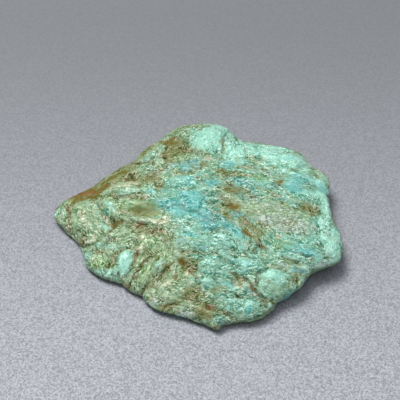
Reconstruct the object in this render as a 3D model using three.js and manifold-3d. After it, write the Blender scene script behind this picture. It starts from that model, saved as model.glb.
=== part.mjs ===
// A flat slab of rough turquoise, one natural stone, lying on the flat spot under its middle.
// Units are millimetres. +Z is up, +X runs along the stone's length, and the origin is on the
// resting plane under the middle of its outline.
//
// The form is drawn in plan. A closed rim line with its own heights bounds the slab. The top is a
// low swell that carries lobes, hollows, ledges and cracks, and the underside is a shallow bowl
// with nodules of its own, cut off flat where the stone rests.

import * as THREE from "three";
import { mergeVertices } from "three/addons/utils/BufferGeometryUtils.js";
import Module from "manifold-3d";

// Driving dimensions.
const LENGTH = 64; // longest extent, along X
const EDGE_RISE = 2.1; // from the rim line up to the shoulder of the top
const SWELL_RISE = 2.9; // from the shoulder up to the middle of the top
const BOWL_DEPTH = 0.3; // how far the underside would reach below the resting plane
const RELIEF_SHARE = 0.65; // how much of their drawn height the lobes, hollows and waves of the top have

// The stone thins out towards its front left. In plan that way is THIN_WAY. The loss of height
// grows from nothing at the first of the THIN_REACH distances to THIN_MOST at the second, and draws
// the edge in by THIN_DRAW of itself. It falls off below the rim, which stands about RIM_HEIGHT high.
const THIN_WAY = [-0.6, -0.8];
const THIN_REACH = [-8, 24];
const THIN_MOST = 2.9;
const THIN_DRAW = 0.84;
const RIM_HEIGHT = 4.2;

// How square the section is: the shoulder at the top is tight, and the underside is round.
const TOP_SHOULDER = 6;
const UNDER_SHOULDER = 2.3;
const SWELL_POWER = 0.8;

// The surface grid: cells across the top (an even number, halved underneath), rows down the wall,
// and the part of the half-width that the top and the bottom cover before the wall takes over.
const CELLS_ACROSS = 56;
const WALL_ROWS = 3;
const WALL_FROM_TOP = 0.96;
const WALL_FROM_UNDER = 0.93;

// Forms finer than the grid can hold are widened to these half-widths.
const CRACK_WIDTH_MIN = 0.8;
const LOBE_WIDTH_MIN = 1.15;

// Lobes meet each other over this height, and the ground between them lies this much lower.
const MEETING_SOFTNESS = 0.12;
const GROUND_DROP = 0.25;

// A hollow falls off as a bell curve of this sharpness.
const HOLLOW_FALL = 1.4;

// The rim is smoothed over this turn. The grid inside follows a rim that is smoothed far more,
// and leans towards the true rim with this power of the way out.
const RIM_SMOOTHING = 0.022;
const INNER_SMOOTHING = 0.2;
const INNER_POWER = 4;
const RIM_DIRECTIONS = 720;
const RIM_SAMPLES = 1500;

// Waves that bend the plan, along x and along y: size, turn per mm of x and of y, and start.
const BEND_X = [[0.4, 0, 0.62, 1.3], [0.2, 0.95, -0.7, 0.4]];
const BEND_Y = [[0.35, 0.58, 0, 2.1], [0.2, 0.8, 1.0, 1.7]];

// The grain of the ground between the lobes: its turn per mm of x and y, along and across, how far
// the long wave is bent, and the heights of the long and the short wave.
const GRAIN_ALONG = [0.35, 0.9];
const GRAIN_ACROSS = [0.45, -0.25];
const GRAIN_BEND = 0.9;
const GRAIN_LONG = 0.22;
const GRAIN_SHORT = 0.14;

// The rim line, clockwise from the left tip: x, y and height of the edge above the ground.
const RIM = [
  [-32.0, 3.6, 4.0], [-31.4, 5.8, 4.1], [-29.8, 7.3, 4.2], [-26.8, 8.8, 4.6], [-23.6, 10.8, 4.8],
  [-19.6, 14.5, 5.0], [-16.4, 17.1, 5.0], [-14.5, 18.1, 5.0], [-13.6, 19.8, 5.1], [-10.9, 22.9, 5.2],
  [-8.0, 25.0, 5.2], [-6.5, 26.8, 5.3], [-3.6, 28.8, 5.4], [-0.3, 29.4, 5.4], [3.2, 29.5, 5.4],
  [6.2, 28.7, 5.3], [8.2, 26.3, 5.2], [9.8, 24.6, 5.0], [13.4, 24.0, 4.9], [17.6, 23.0, 4.9],
  [21.4, 22.0, 4.9], [24.0, 20.0, 4.9], [25.6, 17.0, 4.8], [28.4, 15.0, 4.8], [29.5, 12.6, 4.8],
  [29.2, 9.0, 4.8], [29.2, 5.8, 4.8], [29.8, 0.8, 4.8], [30.9, -2.6, 4.8], [31.2, -7.0, 4.7],
  [30.2, -9.6, 4.6], [27.4, -11.3, 4.5], [24.6, -12.3, 4.5], [23.0, -14.2, 4.5], [21.8, -16.7, 4.4],
  [19.3, -18.5, 4.3], [16.8, -20.4, 4.3], [14.4, -23.0, 4.2], [12.0, -24.8, 4.2], [7.9, -25.6, 4.2],
  [5.8, -26.3, 4.0], [4.0, -27.6, 4.0], [2.2, -26.4, 4.0], [-2.2, -24.6, 4.1], [-5.6, -23.6, 4.1],
  [-8.6, -22.6, 4.1], [-11.0, -20.3, 4.2], [-12.3, -18.7, 4.2], [-14.7, -17.3, 4.2],
  [-16.5, -15.7, 4.2], [-20.8, -14.0, 4.2], [-23.7, -11.2, 4.2], [-25.0, -7.2, 4.2],
  [-27.4, -2.8, 4.1], [-30.9, 0.8, 4.0],
];

// Lobes stand on the top: x, y, long half-axis, short half-axis, turn in degrees, height.
const LOBES = [
  // left tip and the big rounded lobe beside it
  [-29.9, 1.6, 2.8, 1.9, -60, 0.9], [-28.1, -1.6, 2.2, 1.1, -62, 0.8],
  [-24.0, -1.4, 6.0, 3.8, -62, 1.6], [-24.8, -6.9, 1.0, 0.9, 0, 0.7],
  [-21.3, -6.2, 2.5, 1.2, 35, 0.9], [-21.0, 3.8, 2.2, 0.8, -48, 0.9],
  // folds and lenses between the left tip and the middle
  [-18.6, 1.9, 3.9, 1.5, -52, 1.2], [-16.4, 7.1, 3.6, 2.1, 0, 1.1], [-15.2, 3.0, 3.3, 1.7, -6, 1.0],
  [-11.0, -1.9, 4.6, 1.0, -22, 1.2], [-10.3, 5.7, 2.2, 1.1, -55, 0.9], [-9.3, 11.4, 1.0, 0.9, 0, 0.8],
  [-8.9, 14.8, 1.9, 1.2, -50, 1.0], [-12.5, 13.0, 2.2, 1.3, 10, 0.7], [-12.9, 17.9, 1.4, 1.1, 40, 0.7],
  [-10.6, 18.6, 2.4, 1.1, 52, 0.8], [-18.4, 10.8, 2.5, 1.5, 35, 0.5],
  // lower left: rounded lobes, then leaning ridges between cracks
  [-21.7, -11.6, 3.4, 2.6, 20, 1.3], [-20.4, -13.6, 3.4, 1.3, -14, 0.7],
  [-18.4, -8.8, 1.7, 1.3, 0, 0.7], [-17.8, -14.0, 2.2, 1.0, 80, 0.8], [-15.7, -12.1, 3.2, 1.9, 62, 1.5],
  [-14.2, -15.0, 1.9, 1.1, 52, 0.9], [-11.6, -15.2, 4.1, 1.6, 56, 1.2], [-13.0, -18.2, 1.5, 1.0, -20, 0.7],
  [-8.3, -13.6, 2.4, 1.2, 52, 1.0], [-14.0, -6.4, 1.3, 1.0, 20, 0.7], [-12.0, -6.2, 1.1, 0.9, 0, 0.7],
  [-12.1, -9.0, 1.2, 1.0, 30, 0.8], [-9.9, -7.4, 1.6, 1.2, -30, 0.6], [-16.0, -5.0, 1.6, 1.1, -60, 0.6],
  // bottom: the swirled patch, the long lens and the tip
  [-5.4, -15.8, 1.7, 1.2, 40, 0.8], [-5.6, -18.4, 2.6, 1.3, 15, 0.9], [-3.2, -19.8, 2.3, 1.1, 10, 0.8],
  [-6.6, -20.9, 2.8, 1.2, 8, 0.8], [-1.5, -17.2, 1.6, 1.3, 0, 0.7], [-9.6, -19.6, 1.7, 1.2, -30, 0.7],
  [-1.3, -24.0, 4.0, 1.5, -16, 0.9], [-1.6, -22.4, 2.8, 0.8, -20, 0.6], [4.4, -26.3, 1.8, 1.6, 0, 0.7],
  // middle front: rounded lumps with cracks between them
  [2.6, -13.6, 2.8, 2.3, 0, 1.0], [2.1, -17.6, 1.7, 1.5, 0, 0.7], [2.6, -21.0, 1.9, 1.7, 0, 0.8],
  [6.1, -19.9, 1.9, 1.8, 0, 0.8], [9.0, -19.2, 1.1, 1.1, 0, 0.6], [6.6, -22.9, 1.9, 1.2, 10, 0.6],
  [10.5, -13.3, 3.0, 1.7, -15, 1.1], [6.4, -11.5, 1.7, 0.9, -25, 0.7], [5.1, -7.7, 2.8, 2.1, -5, 1.1],
  [11.3, -8.3, 1.9, 1.8, 90, 0.9], [8.5, -8.7, 1.0, 1.0, 0, 0.6], [-1.2, -7.3, 3.6, 2.1, -4, 0.8],
  [-4.2, -8.0, 2.2, 1.2, 90, 0.7], [9.8, -24.4, 2.8, 1.2, 2, 1.0], [14.0, -22.6, 1.4, 0.9, 25, 0.8],
  // the round nodule at the right of the front, and its neighbours
  [16.7, -17.5, 4.4, 3.8, -12, 2.0], [22.0, -15.3, 2.4, 1.0, 48, 0.9], [23.0, -12.6, 2.6, 1.0, -5, 0.8],
  // right shelf and rim
  [27.8, 10.6, 1.6, 1.3, 0, 0.9], [28.0, 4.0, 3.2, 1.4, 90, 0.9], [27.7, -1.6, 1.9, 1.7, 90, 0.8],
  [29.0, -7.6, 2.5, 2.0, 90, 1.1], [27.6, -10.4, 1.9, 1.0, 20, 0.7], [26.6, -6.0, 2.0, 1.5, -20, 0.7],
  [21.5, -7.4, 5.2, 0.8, -11, 0.6], [22.6, -9.1, 5.0, 0.8, -12, 0.6], [25.2, 12.2, 3.0, 1.5, -25, 0.6],
  [21.5, 10.4, 2.6, 1.5, 0, 0.5],
  // far side: two smooth bulges and the lobes right of them
  [2.6, 22.0, 4.6, 4.1, 90, 1.7], [8.4, 19.0, 3.2, 2.4, 90, 1.0], [8.6, 15.8, 3.2, 1.3, 2, 0.5],
  [-2.4, 21.3, 2.2, 1.4, 110, 0.7], [-5.0, 23.6, 2.8, 1.7, 50, 0.8], [-8.2, 21.2, 1.6, 1.0, 40, 0.5],
  [20.8, 16.9, 2.9, 2.3, -10, 1.3], [16.4, 17.4, 2.6, 2.1, 0, 1.0], [12.4, 18.0, 2.3, 2.0, 0, 0.9],
  [12.0, 21.0, 1.8, 1.1, 0, 0.6], [15.6, 20.4, 2.2, 1.1, -10, 0.6],
  // stepped bands across the middle
  [-2.5, 12.0, 2.9, 0.8, -3, 0.8], [3.5, 5.5, 3.2, 0.8, -17, 0.7], [4.6, 3.0, 2.8, 0.7, -15, 0.9],
  [-2.8, 9.0, 3.2, 1.4, 0, 0.6], [-3.4, 4.8, 2.2, 0.9, -3, 0.5], [10.5, 7.8, 2.4, 1.0, -30, 0.5],
  [13.8, 8.5, 3.0, 1.0, -20, 0.5], [15.5, 2.2, 2.4, 1.3, 0, 0.5], [-3.8, -0.5, 2.6, 1.6, 0, 0.6],
  [1.8, -3.6, 2.6, 1.0, 0, 0.6], [5.6, -2.6, 1.3, 0.9, -60, 0.6],
];

// Hollows sink into the top: x, y, long half-axis, short half-axis, turn in degrees, depth.
const HOLLOWS = [
  [-10.6, 1.2, 3.4, 1.5, -5, 0.9], [8.6, -17.0, 2.2, 1.3, -10, 1.0], [23.8, 2.0, 3.2, 1.2, -8, 0.8],
  [13.4, -2.8, 3.6, 1.3, -44, 0.6], [20.0, -11.1, 3.6, 1.0, -8, 0.9], [-6.7, 21.6, 1.4, 0.9, -10, 0.8],
  [-6.0, 18.4, 3.4, 2.2, 0, 0.7], [-24.0, 6.6, 4.5, 1.4, 28, 0.6], [8.0, 8.4, 4.0, 1.4, -20, 0.9],
  [8.4, 1.8, 1.8, 1.0, -30, 0.5], [1.4, 13.9, 1.8, 1.0, 30, 0.8], [-2.5, -13.4, 2.2, 1.3, -20, 1.0],
  [-8.0, -5.4, 3.0, 1.6, 120, 0.5], [12.8, -20.0, 2.2, 1.0, -50, 0.4],
];

// Cracks cut the top and notch the edge: depth, width, then the points along the crack.
const CRACKS = [
  { depth: 1.0, width: 0.5, path: [[-29.2, 5.0], [-28.7, 3.0], [-28.1, 1.0], [-27.8, -1.5], [-27.2, -3.6],
    [-26.4, -5.2], [-25.3, -6.2]] },
  { depth: 1.0, width: 0.45, path: [[-26.0, -6.3], [-24.6, -6.4], [-22.8, -6.7], [-21.3, -6.1],
    [-19.9, -4.9], [-18.3, -3.2], [-17.8, -1.6], [-18.8, -0.2]] },
  { depth: 0.6, width: 0.5, path: [[-16.5, -1.6], [-14.6, -1.7], [-12.6, -2.9], [-10.0, -3.2],
    [-8.1, -4.2], [-7.0, -5.7], [-6.8, -8.0], [-6.0, -10.0], [-4.8, -11.7], [-3.2, -12.7],
    [-1.4, -13.0], [0.0, -12.1], [1.6, -10.9], [3.2, -10.5], [5.0, -10.5]] },
  { depth: 0.9, width: 0.45, path: [[-17.0, -14.3], [-16.6, -15.6], [-16.1, -16.6], [-15.9, -18.0]] },
  { depth: 0.9, width: 0.45, path: [[-15.6, -18.2], [-14.6, -16.9], [-13.6, -15.6], [-12.8, -14.3],
    [-12.0, -12.7], [-11.0, -11.6], [-9.8, -11.0]] },
  { depth: 0.6, width: 0.5, path: [[-19.8, -13.8], [-18.9, -12.8], [-18.7, -11.6]] },
  { depth: 0.6, width: 0.4, path: [[-9.9, -14.6], [-9.4, -12.8], [-8.2, -11.6]] },
  { depth: 0.6, width: 0.4, path: [[-8.2, -16.6], [-6.6, -14.2], [-5.3, -12.9]] },
  { depth: 1.0, width: 0.5, path: [[-12.6, -20.4], [-11.9, -18.6], [-10.6, -17.6]] },
  { depth: 0.7, width: 0.4, path: [[-1.6, -14.8], [-0.4, -16.4], [0.3, -18.0], [0.5, -19.3], [1.2, -20.6],
    [1.4, -22.4], [2.6, -23.6]] },
  { depth: 1.0, width: 0.5, path: [[7.0, -15.4], [9.2, -15.9], [11.0, -17.4], [12.0, -18.9], [13.2, -20.1],
    [15.0, -21.4]] },
  { depth: 0.9, width: 0.45, path: [[15.3, -13.6], [13.5, -14.8], [12.5, -16.5], [12.5, -18.5],
    [13.2, -20.1]] },
  { depth: 0.7, width: 0.4, path: [[20.9, -14.2], [21.2, -15.8], [21.0, -17.6]] },
  { depth: 0.6, width: 0.35, path: [[7.4, 27.4], [6.4, 24.4], [6.1, 22.0], [5.8, 19.6], [5.4, 17.4]] },
  { depth: 0.5, width: 0.5, path: [[5.8, 13.4], [9.0, 13.3], [12.0, 13.7], [16.0, 13.1], [20.0, 13.0],
    [22.4, 14.2], [25.0, 17.0]] },
  { depth: 0.7, width: 0.45, path: [[-15.6, 17.4], [-13.6, 15.9], [-12.0, 15.9], [-10.4, 15.4],
    [-9.2, 13.0]] },
  { depth: 1.0, width: 1.0, path: [[31.0, 8.4], [28.9, 8.0]] },
  { depth: 0.6, width: 0.4, path: [[3.6, -17.3], [4.4, -17.9], [5.6, -17.7]] },
  { depth: 0.8, width: 0.5, path: [[13.2, -22.0], [14.4, -22.2]] },
];

// Nodules under the stone are laid out on a spiral: how many, where it starts, and their size.
const UNDER_NODULES = 30;
const UNDER_FIRST_RADIUS = 16;
const UNDER_LAST_RADIUS = 30;
const UNDER_SIZE = [2.6, 4.6];
const UNDER_HEIGHT = [0.5, 1.3];
const UNDER_OVAL = 0.72;
const UNDER_TURN_STEP = 47;
const UNDER_SIZE_STEP = 5.3;
const GOLDEN_TURN = Math.PI * (3 - Math.sqrt(5));

// Nodules fade out where the surface turns up from facing down, between these slopes.
const UNDER_FADE = [0.2, 0.7];

const radians = THREE.MathUtils.degToRad;

// The rim by direction, read off a smooth closed curve through RIM: for each of RIM_DIRECTIONS,
// the mean radius and height of the curve's points about there, weighted by a bell curve.
function rimTable(smoothing) {
  const points = RIM.map(([x, y, z]) => new THREE.Vector3(x, y, z));
  const curve = new THREE.CatmullRomCurve3(points, true, "centripetal");
  const samples = curve.getPoints(RIM_SAMPLES);
  const table = [];
  for (let i = 0; i < RIM_DIRECTIONS; i += 1) {
    const direction = (i / RIM_DIRECTIONS) * 2 * Math.PI - Math.PI;
    let total = 0;
    let radius = 0;
    let height = 0;
    for (const p of samples) {
      const off = Math.atan2(p.y, p.x) - direction;
      const turn = Math.atan2(Math.sin(off), Math.cos(off));
      const weight = Math.exp(-((turn / smoothing) ** 2));
      total += weight;
      radius += weight * Math.hypot(p.x, p.y);
      height += weight * p.z;
    }
    table.push([radius / total, height / total]);
  }
  return table;
}

const OUTER_RIM = rimTable(RIM_SMOOTHING);
const INNER_RIM = rimTable(INNER_SMOOTHING);

function rimAt(table, angle) {
  const place = ((angle + Math.PI) / (2 * Math.PI)) * RIM_DIRECTIONS;
  const before = Math.floor(place);
  const a = table[before % RIM_DIRECTIONS];
  const b = table[(before + 1) % RIM_DIRECTIONS];
  return [0, 1].map((k) => THREE.MathUtils.lerp(a[k], b[k], place - before));
}

// Bends the plan a little, so that no lobe keeps the outline of an exact ellipse.
function wander(x, y) {
  const wave = (sum, [size, kx, ky, start]) => sum + size * Math.sin(kx * x + ky * y + start);
  return [BEND_X.reduce(wave, x), BEND_Y.reduce(wave, y)];
}

// How far (x, y) is from a form's centre, where 1 is the ellipse itself.
function reach(x, y, [cx, cy, long, short, turn]) {
  const c = Math.cos(radians(turn));
  const s = Math.sin(radians(turn));
  const dx = x - cx;
  const dy = y - cy;
  const narrow = Math.max(short, LOBE_WIDTH_MIN);
  return Math.hypot((c * dx + s * dy) / Math.max(long, narrow), (c * dy - s * dx) / narrow);
}

// The larger of two heights, with the crease between them rounded.
function softMax(a, b) {
  return (a + b + Math.hypot(a - b, MEETING_SOFTNESS)) / 2;
}

// Long shallow waves that lean with the stone's grain, for the ground between the lobes.
function ground(x, y) {
  const along = GRAIN_ALONG[0] * x + GRAIN_ALONG[1] * y;
  const across = GRAIN_ACROSS[0] * x + GRAIN_ACROSS[1] * y;
  const long = GRAIN_LONG * Math.sin(along + GRAIN_BEND * Math.sin(across));
  const short = GRAIN_SHORT * Math.sin(1.3 * across + 0.6 * along + 2);
  return long + short - GROUND_DROP;
}

// Each lobe is a paraboloid, its height times (1 - reach squared). The highest one shows.
function lobes(x, y, forms, floor) {
  return forms.reduce((most, form) => softMax(most, form[5] * (1 - reach(x, y, form) ** 2)), floor);
}

function hollows(x, y) {
  return HOLLOWS.reduce((sum, form) => sum + form[5] * Math.exp(-HOLLOW_FALL * reach(x, y, form) ** 2), 0);
}

function distanceToPath(x, y, path) {
  let least = Infinity;
  for (let i = 1; i < path.length; i += 1) {
    const [ax, ay] = path[i - 1];
    const [bx, by] = path[i];
    const length2 = (bx - ax) ** 2 + (by - ay) ** 2;
    const t = THREE.MathUtils.clamp(((x - ax) * (bx - ax) + (y - ay) * (by - ay)) / length2, 0, 1);
    least = Math.min(least, Math.hypot(x - ax - t * (bx - ax), y - ay - t * (by - ay)));
  }
  return least;
}

// The deepest crack at (x, y). A crack widened to the grid loses depth in step.
function cracks(x, y) {
  let most = 0;
  for (const { depth, width, path } of CRACKS) {
    const drawn = Math.max(width, CRACK_WIDTH_MIN);
    const fade = Math.exp(-((distanceToPath(x, y, path) / drawn) ** 2));
    most = Math.max(most, depth * Math.sqrt(width / drawn) * fade);
  }
  return most;
}

function underNodules() {
  const list = [];
  for (let i = 0; i < UNDER_NODULES; i += 1) {
    const t = i / (UNDER_NODULES - 1);
    const radius = THREE.MathUtils.lerp(UNDER_FIRST_RADIUS, UNDER_LAST_RADIUS, Math.sqrt(t));
    const mix = 0.5 + 0.5 * Math.sin(UNDER_SIZE_STEP * i);
    const size = THREE.MathUtils.lerp(UNDER_SIZE[0], UNDER_SIZE[1], mix);
    const height = THREE.MathUtils.lerp(UNDER_HEIGHT[0], UNDER_HEIGHT[1], mix);
    const turn = i * GOLDEN_TURN;
    const place = [radius * Math.cos(turn), radius * Math.sin(turn)];
    list.push([...place, size, size * UNDER_OVAL, i * UNDER_TURN_STEP, height]);
  }
  return list;
}

const nodules = underNodules();

// The unit square onto the unit disc: x = u sqrt(1 - v²/2), y = v sqrt(1 - u²/2).
function squareToDisc([u, v]) {
  return [u * Math.sqrt(1 - (v * v) / 2), v * Math.sqrt(1 - (u * u) / 2)];
}

// A point of the plain slab. It stands at share of the way from the middle to the rim in the
// direction (dx, dy), and on the top, on the underside, or on the rim line between them.
function onSlab(dx, dy, share, side) {
  const angle = Math.atan2(dy, dx);
  const [rimRadius, rimHeight] = rimAt(OUTER_RIM, angle);
  const radius = share * THREE.MathUtils.lerp(rimAt(INNER_RIM, angle)[0], rimRadius, share ** INNER_POWER);
  const x = radius * Math.cos(angle);
  const y = radius * Math.sin(angle);
  if (side <= 0) {
    const fall = Math.sqrt(Math.max(0, 1 - share ** UNDER_SHOULDER));
    return new THREE.Vector3(x, y, rimHeight - (rimHeight + BOWL_DEPTH) * fall);
  }
  const [wx, wy] = wander(x, y);
  const relief = RELIEF_SHARE * (lobes(wx, wy, LOBES, ground(x, y)) - hollows(wx, wy));
  const shoulder = Math.sqrt(Math.max(0, 1 - share ** TOP_SHOULDER));
  const swell = SWELL_RISE * (1 - share ** 2) ** SWELL_POWER;
  return new THREE.Vector3(x, y, rimHeight + (EDGE_RISE + relief) * shoulder + swell);
}

// Steps around the unit square, counter-clockwise from its lower left corner: n steps a side.
function squareRing(n) {
  const ring = [];
  for (let k = 0; k < n; k += 1) ring.push([k, 0]);
  for (let k = 0; k < n; k += 1) ring.push([n, k]);
  for (let k = 0; k < n; k += 1) ring.push([n - k, n]);
  for (let k = 0; k < n; k += 1) ring.push([0, n - k]);
  return ring;
}

// Adds a square grid of points for the top or the underside and its faces, and returns the
// numbers of the points around its edge. Each cell is split along its shorter diagonal.
function addFace(points, faces, n, share, side) {
  const first = points.length;
  for (let j = 0; j <= n; j += 1) {
    for (let i = 0; i <= n; i += 1) {
      const [dx, dy] = squareToDisc([(2 * i) / n - 1, (2 * j) / n - 1]);
      points.push(onSlab(dx, dy, share * Math.hypot(dx, dy), side));
    }
  }
  const at = (i, j) => first + j * (n + 1) + i;
  for (let j = 0; j < n; j += 1) {
    for (let i = 0; i < n; i += 1) {
      const [a, b, c, d] = [at(i, j), at(i + 1, j), at(i + 1, j + 1), at(i, j + 1)];
      const straight = points[a].distanceTo(points[c]) < points[b].distanceTo(points[d]);
      const cell = straight ? [a, b, c, a, c, d] : [a, b, d, b, c, d];
      faces.push(...(side > 0 ? cell : cell.reverse()));
    }
  }
  return squareRing(n).map(([i, j]) => at(i, j));
}

// Adds one row of the wall between a ring above and a ring of as many points below it.
function addRow(faces, above, below) {
  above.forEach((a, k) => {
    const b = above[(k + 1) % above.length];
    const under = below[k];
    const underNext = below[(k + 1) % below.length];
    faces.push(under, underNext, b, under, b, a);
  });
}

// Adds the row where the wall meets the underside, whose ring has half as many points.
function addHalvingRow(faces, above, below) {
  below.forEach((under, k) => {
    const underNext = below[(k + 1) % below.length];
    const [a, b] = [above[2 * k], above[2 * k + 1]];
    const c = above[(2 * k + 2) % above.length];
    faces.push(under, underNext, b, under, b, a, underNext, c, b);
  });
}

// The plain slab: the top, the wall in rows of equal turn round the rim line, and the underside.
function slabGeometry() {
  const points = [];
  const faces = [];
  let above = addFace(points, faces, CELLS_ACROSS, WALL_FROM_TOP, 1);
  const turnTop = Math.acos(WALL_FROM_TOP ** (TOP_SHOULDER / 2));
  const turnUnder = Math.acos(WALL_FROM_UNDER ** (UNDER_SHOULDER / 2));
  for (let row = 1; row <= WALL_ROWS; row += 1) {
    const turn = THREE.MathUtils.lerp(turnTop, -turnUnder, row / (WALL_ROWS + 1));
    const share = Math.cos(turn) ** (2 / (turn > 0 ? TOP_SHOULDER : UNDER_SHOULDER));
    const ring = squareRing(CELLS_ACROSS).map((step) => {
      const [dx, dy] = squareToDisc(step.map((k) => (2 * k) / CELLS_ACROSS - 1));
      return points.push(onSlab(dx, dy, share, turn)) - 1;
    });
    addRow(faces, above, ring);
    above = ring;
  }
  addHalvingRow(faces, above, addFace(points, faces, CELLS_ACROSS / 2, WALL_FROM_UNDER, -1));
  return new THREE.BufferGeometry().setFromPoints(points).setIndex(faces);
}

// Lowers a point towards the thin side of the stone and draws it in.
function thin(point) {
  const way = THIN_WAY[0] * point.x + THIN_WAY[1] * point.y;
  const loss = THIN_MOST * THREE.MathUtils.smoothstep(way, THIN_REACH[0], THIN_REACH[1]);
  point.y += THIN_DRAW * loss;
  point.z -= loss * Math.min(1, point.z / RIM_HEIGHT);
}

// The slab with cracks pressed in, and the underside's nodules pushed out, along its normals, and
// then thinned.
function stoneGeometry() {
  const geometry = slabGeometry();
  geometry.computeVertexNormals();
  const position = geometry.getAttribute("position");
  const normal = geometry.getAttribute("normal");
  const point = new THREE.Vector3();
  const out = new THREE.Vector3();
  for (let i = 0; i < position.count; i += 1) {
    point.fromBufferAttribute(position, i);
    out.fromBufferAttribute(normal, i);
    const [wx, wy] = wander(point.x, point.y);
    const under = THREE.MathUtils.smoothstep(-out.z, UNDER_FADE[0], UNDER_FADE[1]);
    const nodule = under * lobes(wx, wy, nodules, 0);
    point.addScaledVector(out, nodule - (1 - under) * cracks(point.x, point.y));
    thin(point);
    position.setXYZ(i, point.x, point.y, point.z);
  }
  geometry.deleteAttribute("normal");
  return geometry;
}

function toSolid(wasm, geometry) {
  return new wasm.Manifold(new wasm.Mesh({
    numProp: 3,
    vertProperties: new Float32Array(geometry.getAttribute("position").array),
    triVerts: new Uint32Array(geometry.index.array),
  }));
}

function toGeometry(solid) {
  const mesh = solid.getMesh();
  return new THREE.BufferGeometry()
    .setAttribute("position", new THREE.BufferAttribute(mesh.vertProperties, 3))
    .setIndex(new THREE.BufferAttribute(mesh.triVerts, 1));
}

// Cuts everything below the resting plane away, which leaves the flat spot.
function cutFlat(wasm, geometry) {
  const side = 2 * LENGTH;
  const ground = new THREE.BoxGeometry(side, side, side).translate(0, 0, -side / 2);
  ground.deleteAttribute("normal");
  ground.deleteAttribute("uv");
  return toGeometry(toSolid(wasm, geometry).subtract(toSolid(wasm, mergeVertices(ground))));
}

// Scales the stone in plan to its length, and puts the middle of its outline over the origin.
function setSize(geometry) {
  geometry.computeBoundingBox();
  const { min, max } = geometry.boundingBox;
  const scale = LENGTH / (max.x - min.x);
  geometry.translate(-(min.x + max.x) / 2, -(min.y + max.y) / 2, 0);
  geometry.scale(scale, scale, 1);
  geometry.computeVertexNormals();
  return geometry;
}

const wasm = await Module();
wasm.setup();

const turquoise = new THREE.Mesh(
  setSize(cutFlat(wasm, stoneGeometry())),
  new THREE.MeshStandardMaterial({ color: 0x7fb8a0, roughness: 0.55, metalness: 0 }),
);
turquoise.name = "turquoise";

const stone = new THREE.Group();
stone.add(turquoise);

export default stone;
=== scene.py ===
"""A flat slab of rough turquoise on a plain grey ground, seen from about 50 degrees above it.

The stone is one closed mesh, worked out as whole arrays. Its plan is drawn in the raw
millimetres of the slab's own form, then fitted to the model's box. The top carries lobes,
hollows and cracks placed one by one, scales and streaks that follow the stone's grain, and a fine
web of cracks. Patches placed one by one on the same plan, with edges torn along the grain, tell the
material where the stone is blue, mint, olive or brown.
"""
import math
from types import SimpleNamespace

import bpy
import numpy as np
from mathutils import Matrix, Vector


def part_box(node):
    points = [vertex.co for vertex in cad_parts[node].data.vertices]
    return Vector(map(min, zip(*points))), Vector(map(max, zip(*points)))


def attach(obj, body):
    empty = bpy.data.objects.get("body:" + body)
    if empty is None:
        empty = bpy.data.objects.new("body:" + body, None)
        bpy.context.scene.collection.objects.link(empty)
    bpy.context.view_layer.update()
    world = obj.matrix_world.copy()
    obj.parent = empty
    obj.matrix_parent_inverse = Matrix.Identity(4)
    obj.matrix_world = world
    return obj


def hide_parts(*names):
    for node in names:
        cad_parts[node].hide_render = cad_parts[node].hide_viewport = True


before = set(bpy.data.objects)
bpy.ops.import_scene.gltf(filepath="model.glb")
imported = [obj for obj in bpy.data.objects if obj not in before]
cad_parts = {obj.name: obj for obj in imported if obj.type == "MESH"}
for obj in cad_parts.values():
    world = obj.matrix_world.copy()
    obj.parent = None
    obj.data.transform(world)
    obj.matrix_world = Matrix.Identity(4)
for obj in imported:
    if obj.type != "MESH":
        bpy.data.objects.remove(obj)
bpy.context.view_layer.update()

MM = 0.001

# The camera: how high it stands, how far off, its lens, how near it sees, and what it looks at.
CAMERA_RISE = math.radians(50)
CAMERA_DISTANCE = 330 * MM
CAMERA_LENS = 130
CAMERA_NEAREST = 10 * MM
CAMERA_AIM = (0.85 * MM, 9.25 * MM, 0)

# How the slab's section is built up, as in the model's own source, in mm or as shares.
EDGE_RISE = 2.1
RELIEF_SHARE = 0.65
SWELL_RISE = 2.9
SWELL_POWER = 0.8
BOWL_DEPTH = 0.3
TOP_SHOULDER = 6
UNDER_SHOULDER = 2.3
HOLLOW_FALL = 1.4
MEETING_SOFTNESS = 0.12
GROUND_DROP = 0.25
THIN_WAY = (-0.6, -0.8)
THIN_REACH = (-8, 24)
THIN_MOST = 2.9
THIN_DRAW = 0.84
CRACK_DEPTH_SHARE = 0.55
CRACK_WIDTH_SHARE = 0.42
RIM_HEIGHT = 4.2
RIM_SMOOTHING = 0.014
INNER_SMOOTHING = 0.2
INNER_POWER = 4
RIM_DIRECTIONS = 1440
RIM_STEPS = 30

# The mesh: cells across the top (halved underneath), rows down the wall, and the part of the
# half-width that the top and the underside cover before the wall takes over.
CELLS_ACROSS = 250
WALL_ROWS = 15
WALL_FROM_TOP = 0.965
WALL_FROM_UNDER = 0.93

# How high the finest relief may stand, as a share of the height of the model's box.
TOP_SPARE = 1.02

# The plan grid that the top's fields are worked out on, in raw millimetres.
PLAN_LOW = (-36.0, -32.0)
PLAN_HIGH = (36.0, 34.0)
PLAN_STEP = 0.2
PLAN_X, PLAN_Y = np.meshgrid(
    np.arange(PLAN_LOW[0], PLAN_HIGH[0], PLAN_STEP),
    np.arange(PLAN_LOW[1], PLAN_HIGH[1], PLAN_STEP),
)

# Sine waves that bend the plan: size in mm, radians per mm in x and in y, and the angle at the start.
BEND_X = [(0.4, 0, 0.62, 1.3), (0.2, 0.95, -0.7, 0.4)]
BEND_Y = [(0.35, 0.58, 0, 2.1), (0.2, 0.8, 1.0, 1.7)]

# The long shallow waves of the ground between the lobes: their two directions and heights.
GRAIN_ALONG = (0.35, 0.9)
GRAIN_ACROSS = (0.45, -0.25)
GRAIN_BEND = 0.9
GRAIN_LONG = 0.22
GRAIN_SHORT = 0.14

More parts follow.
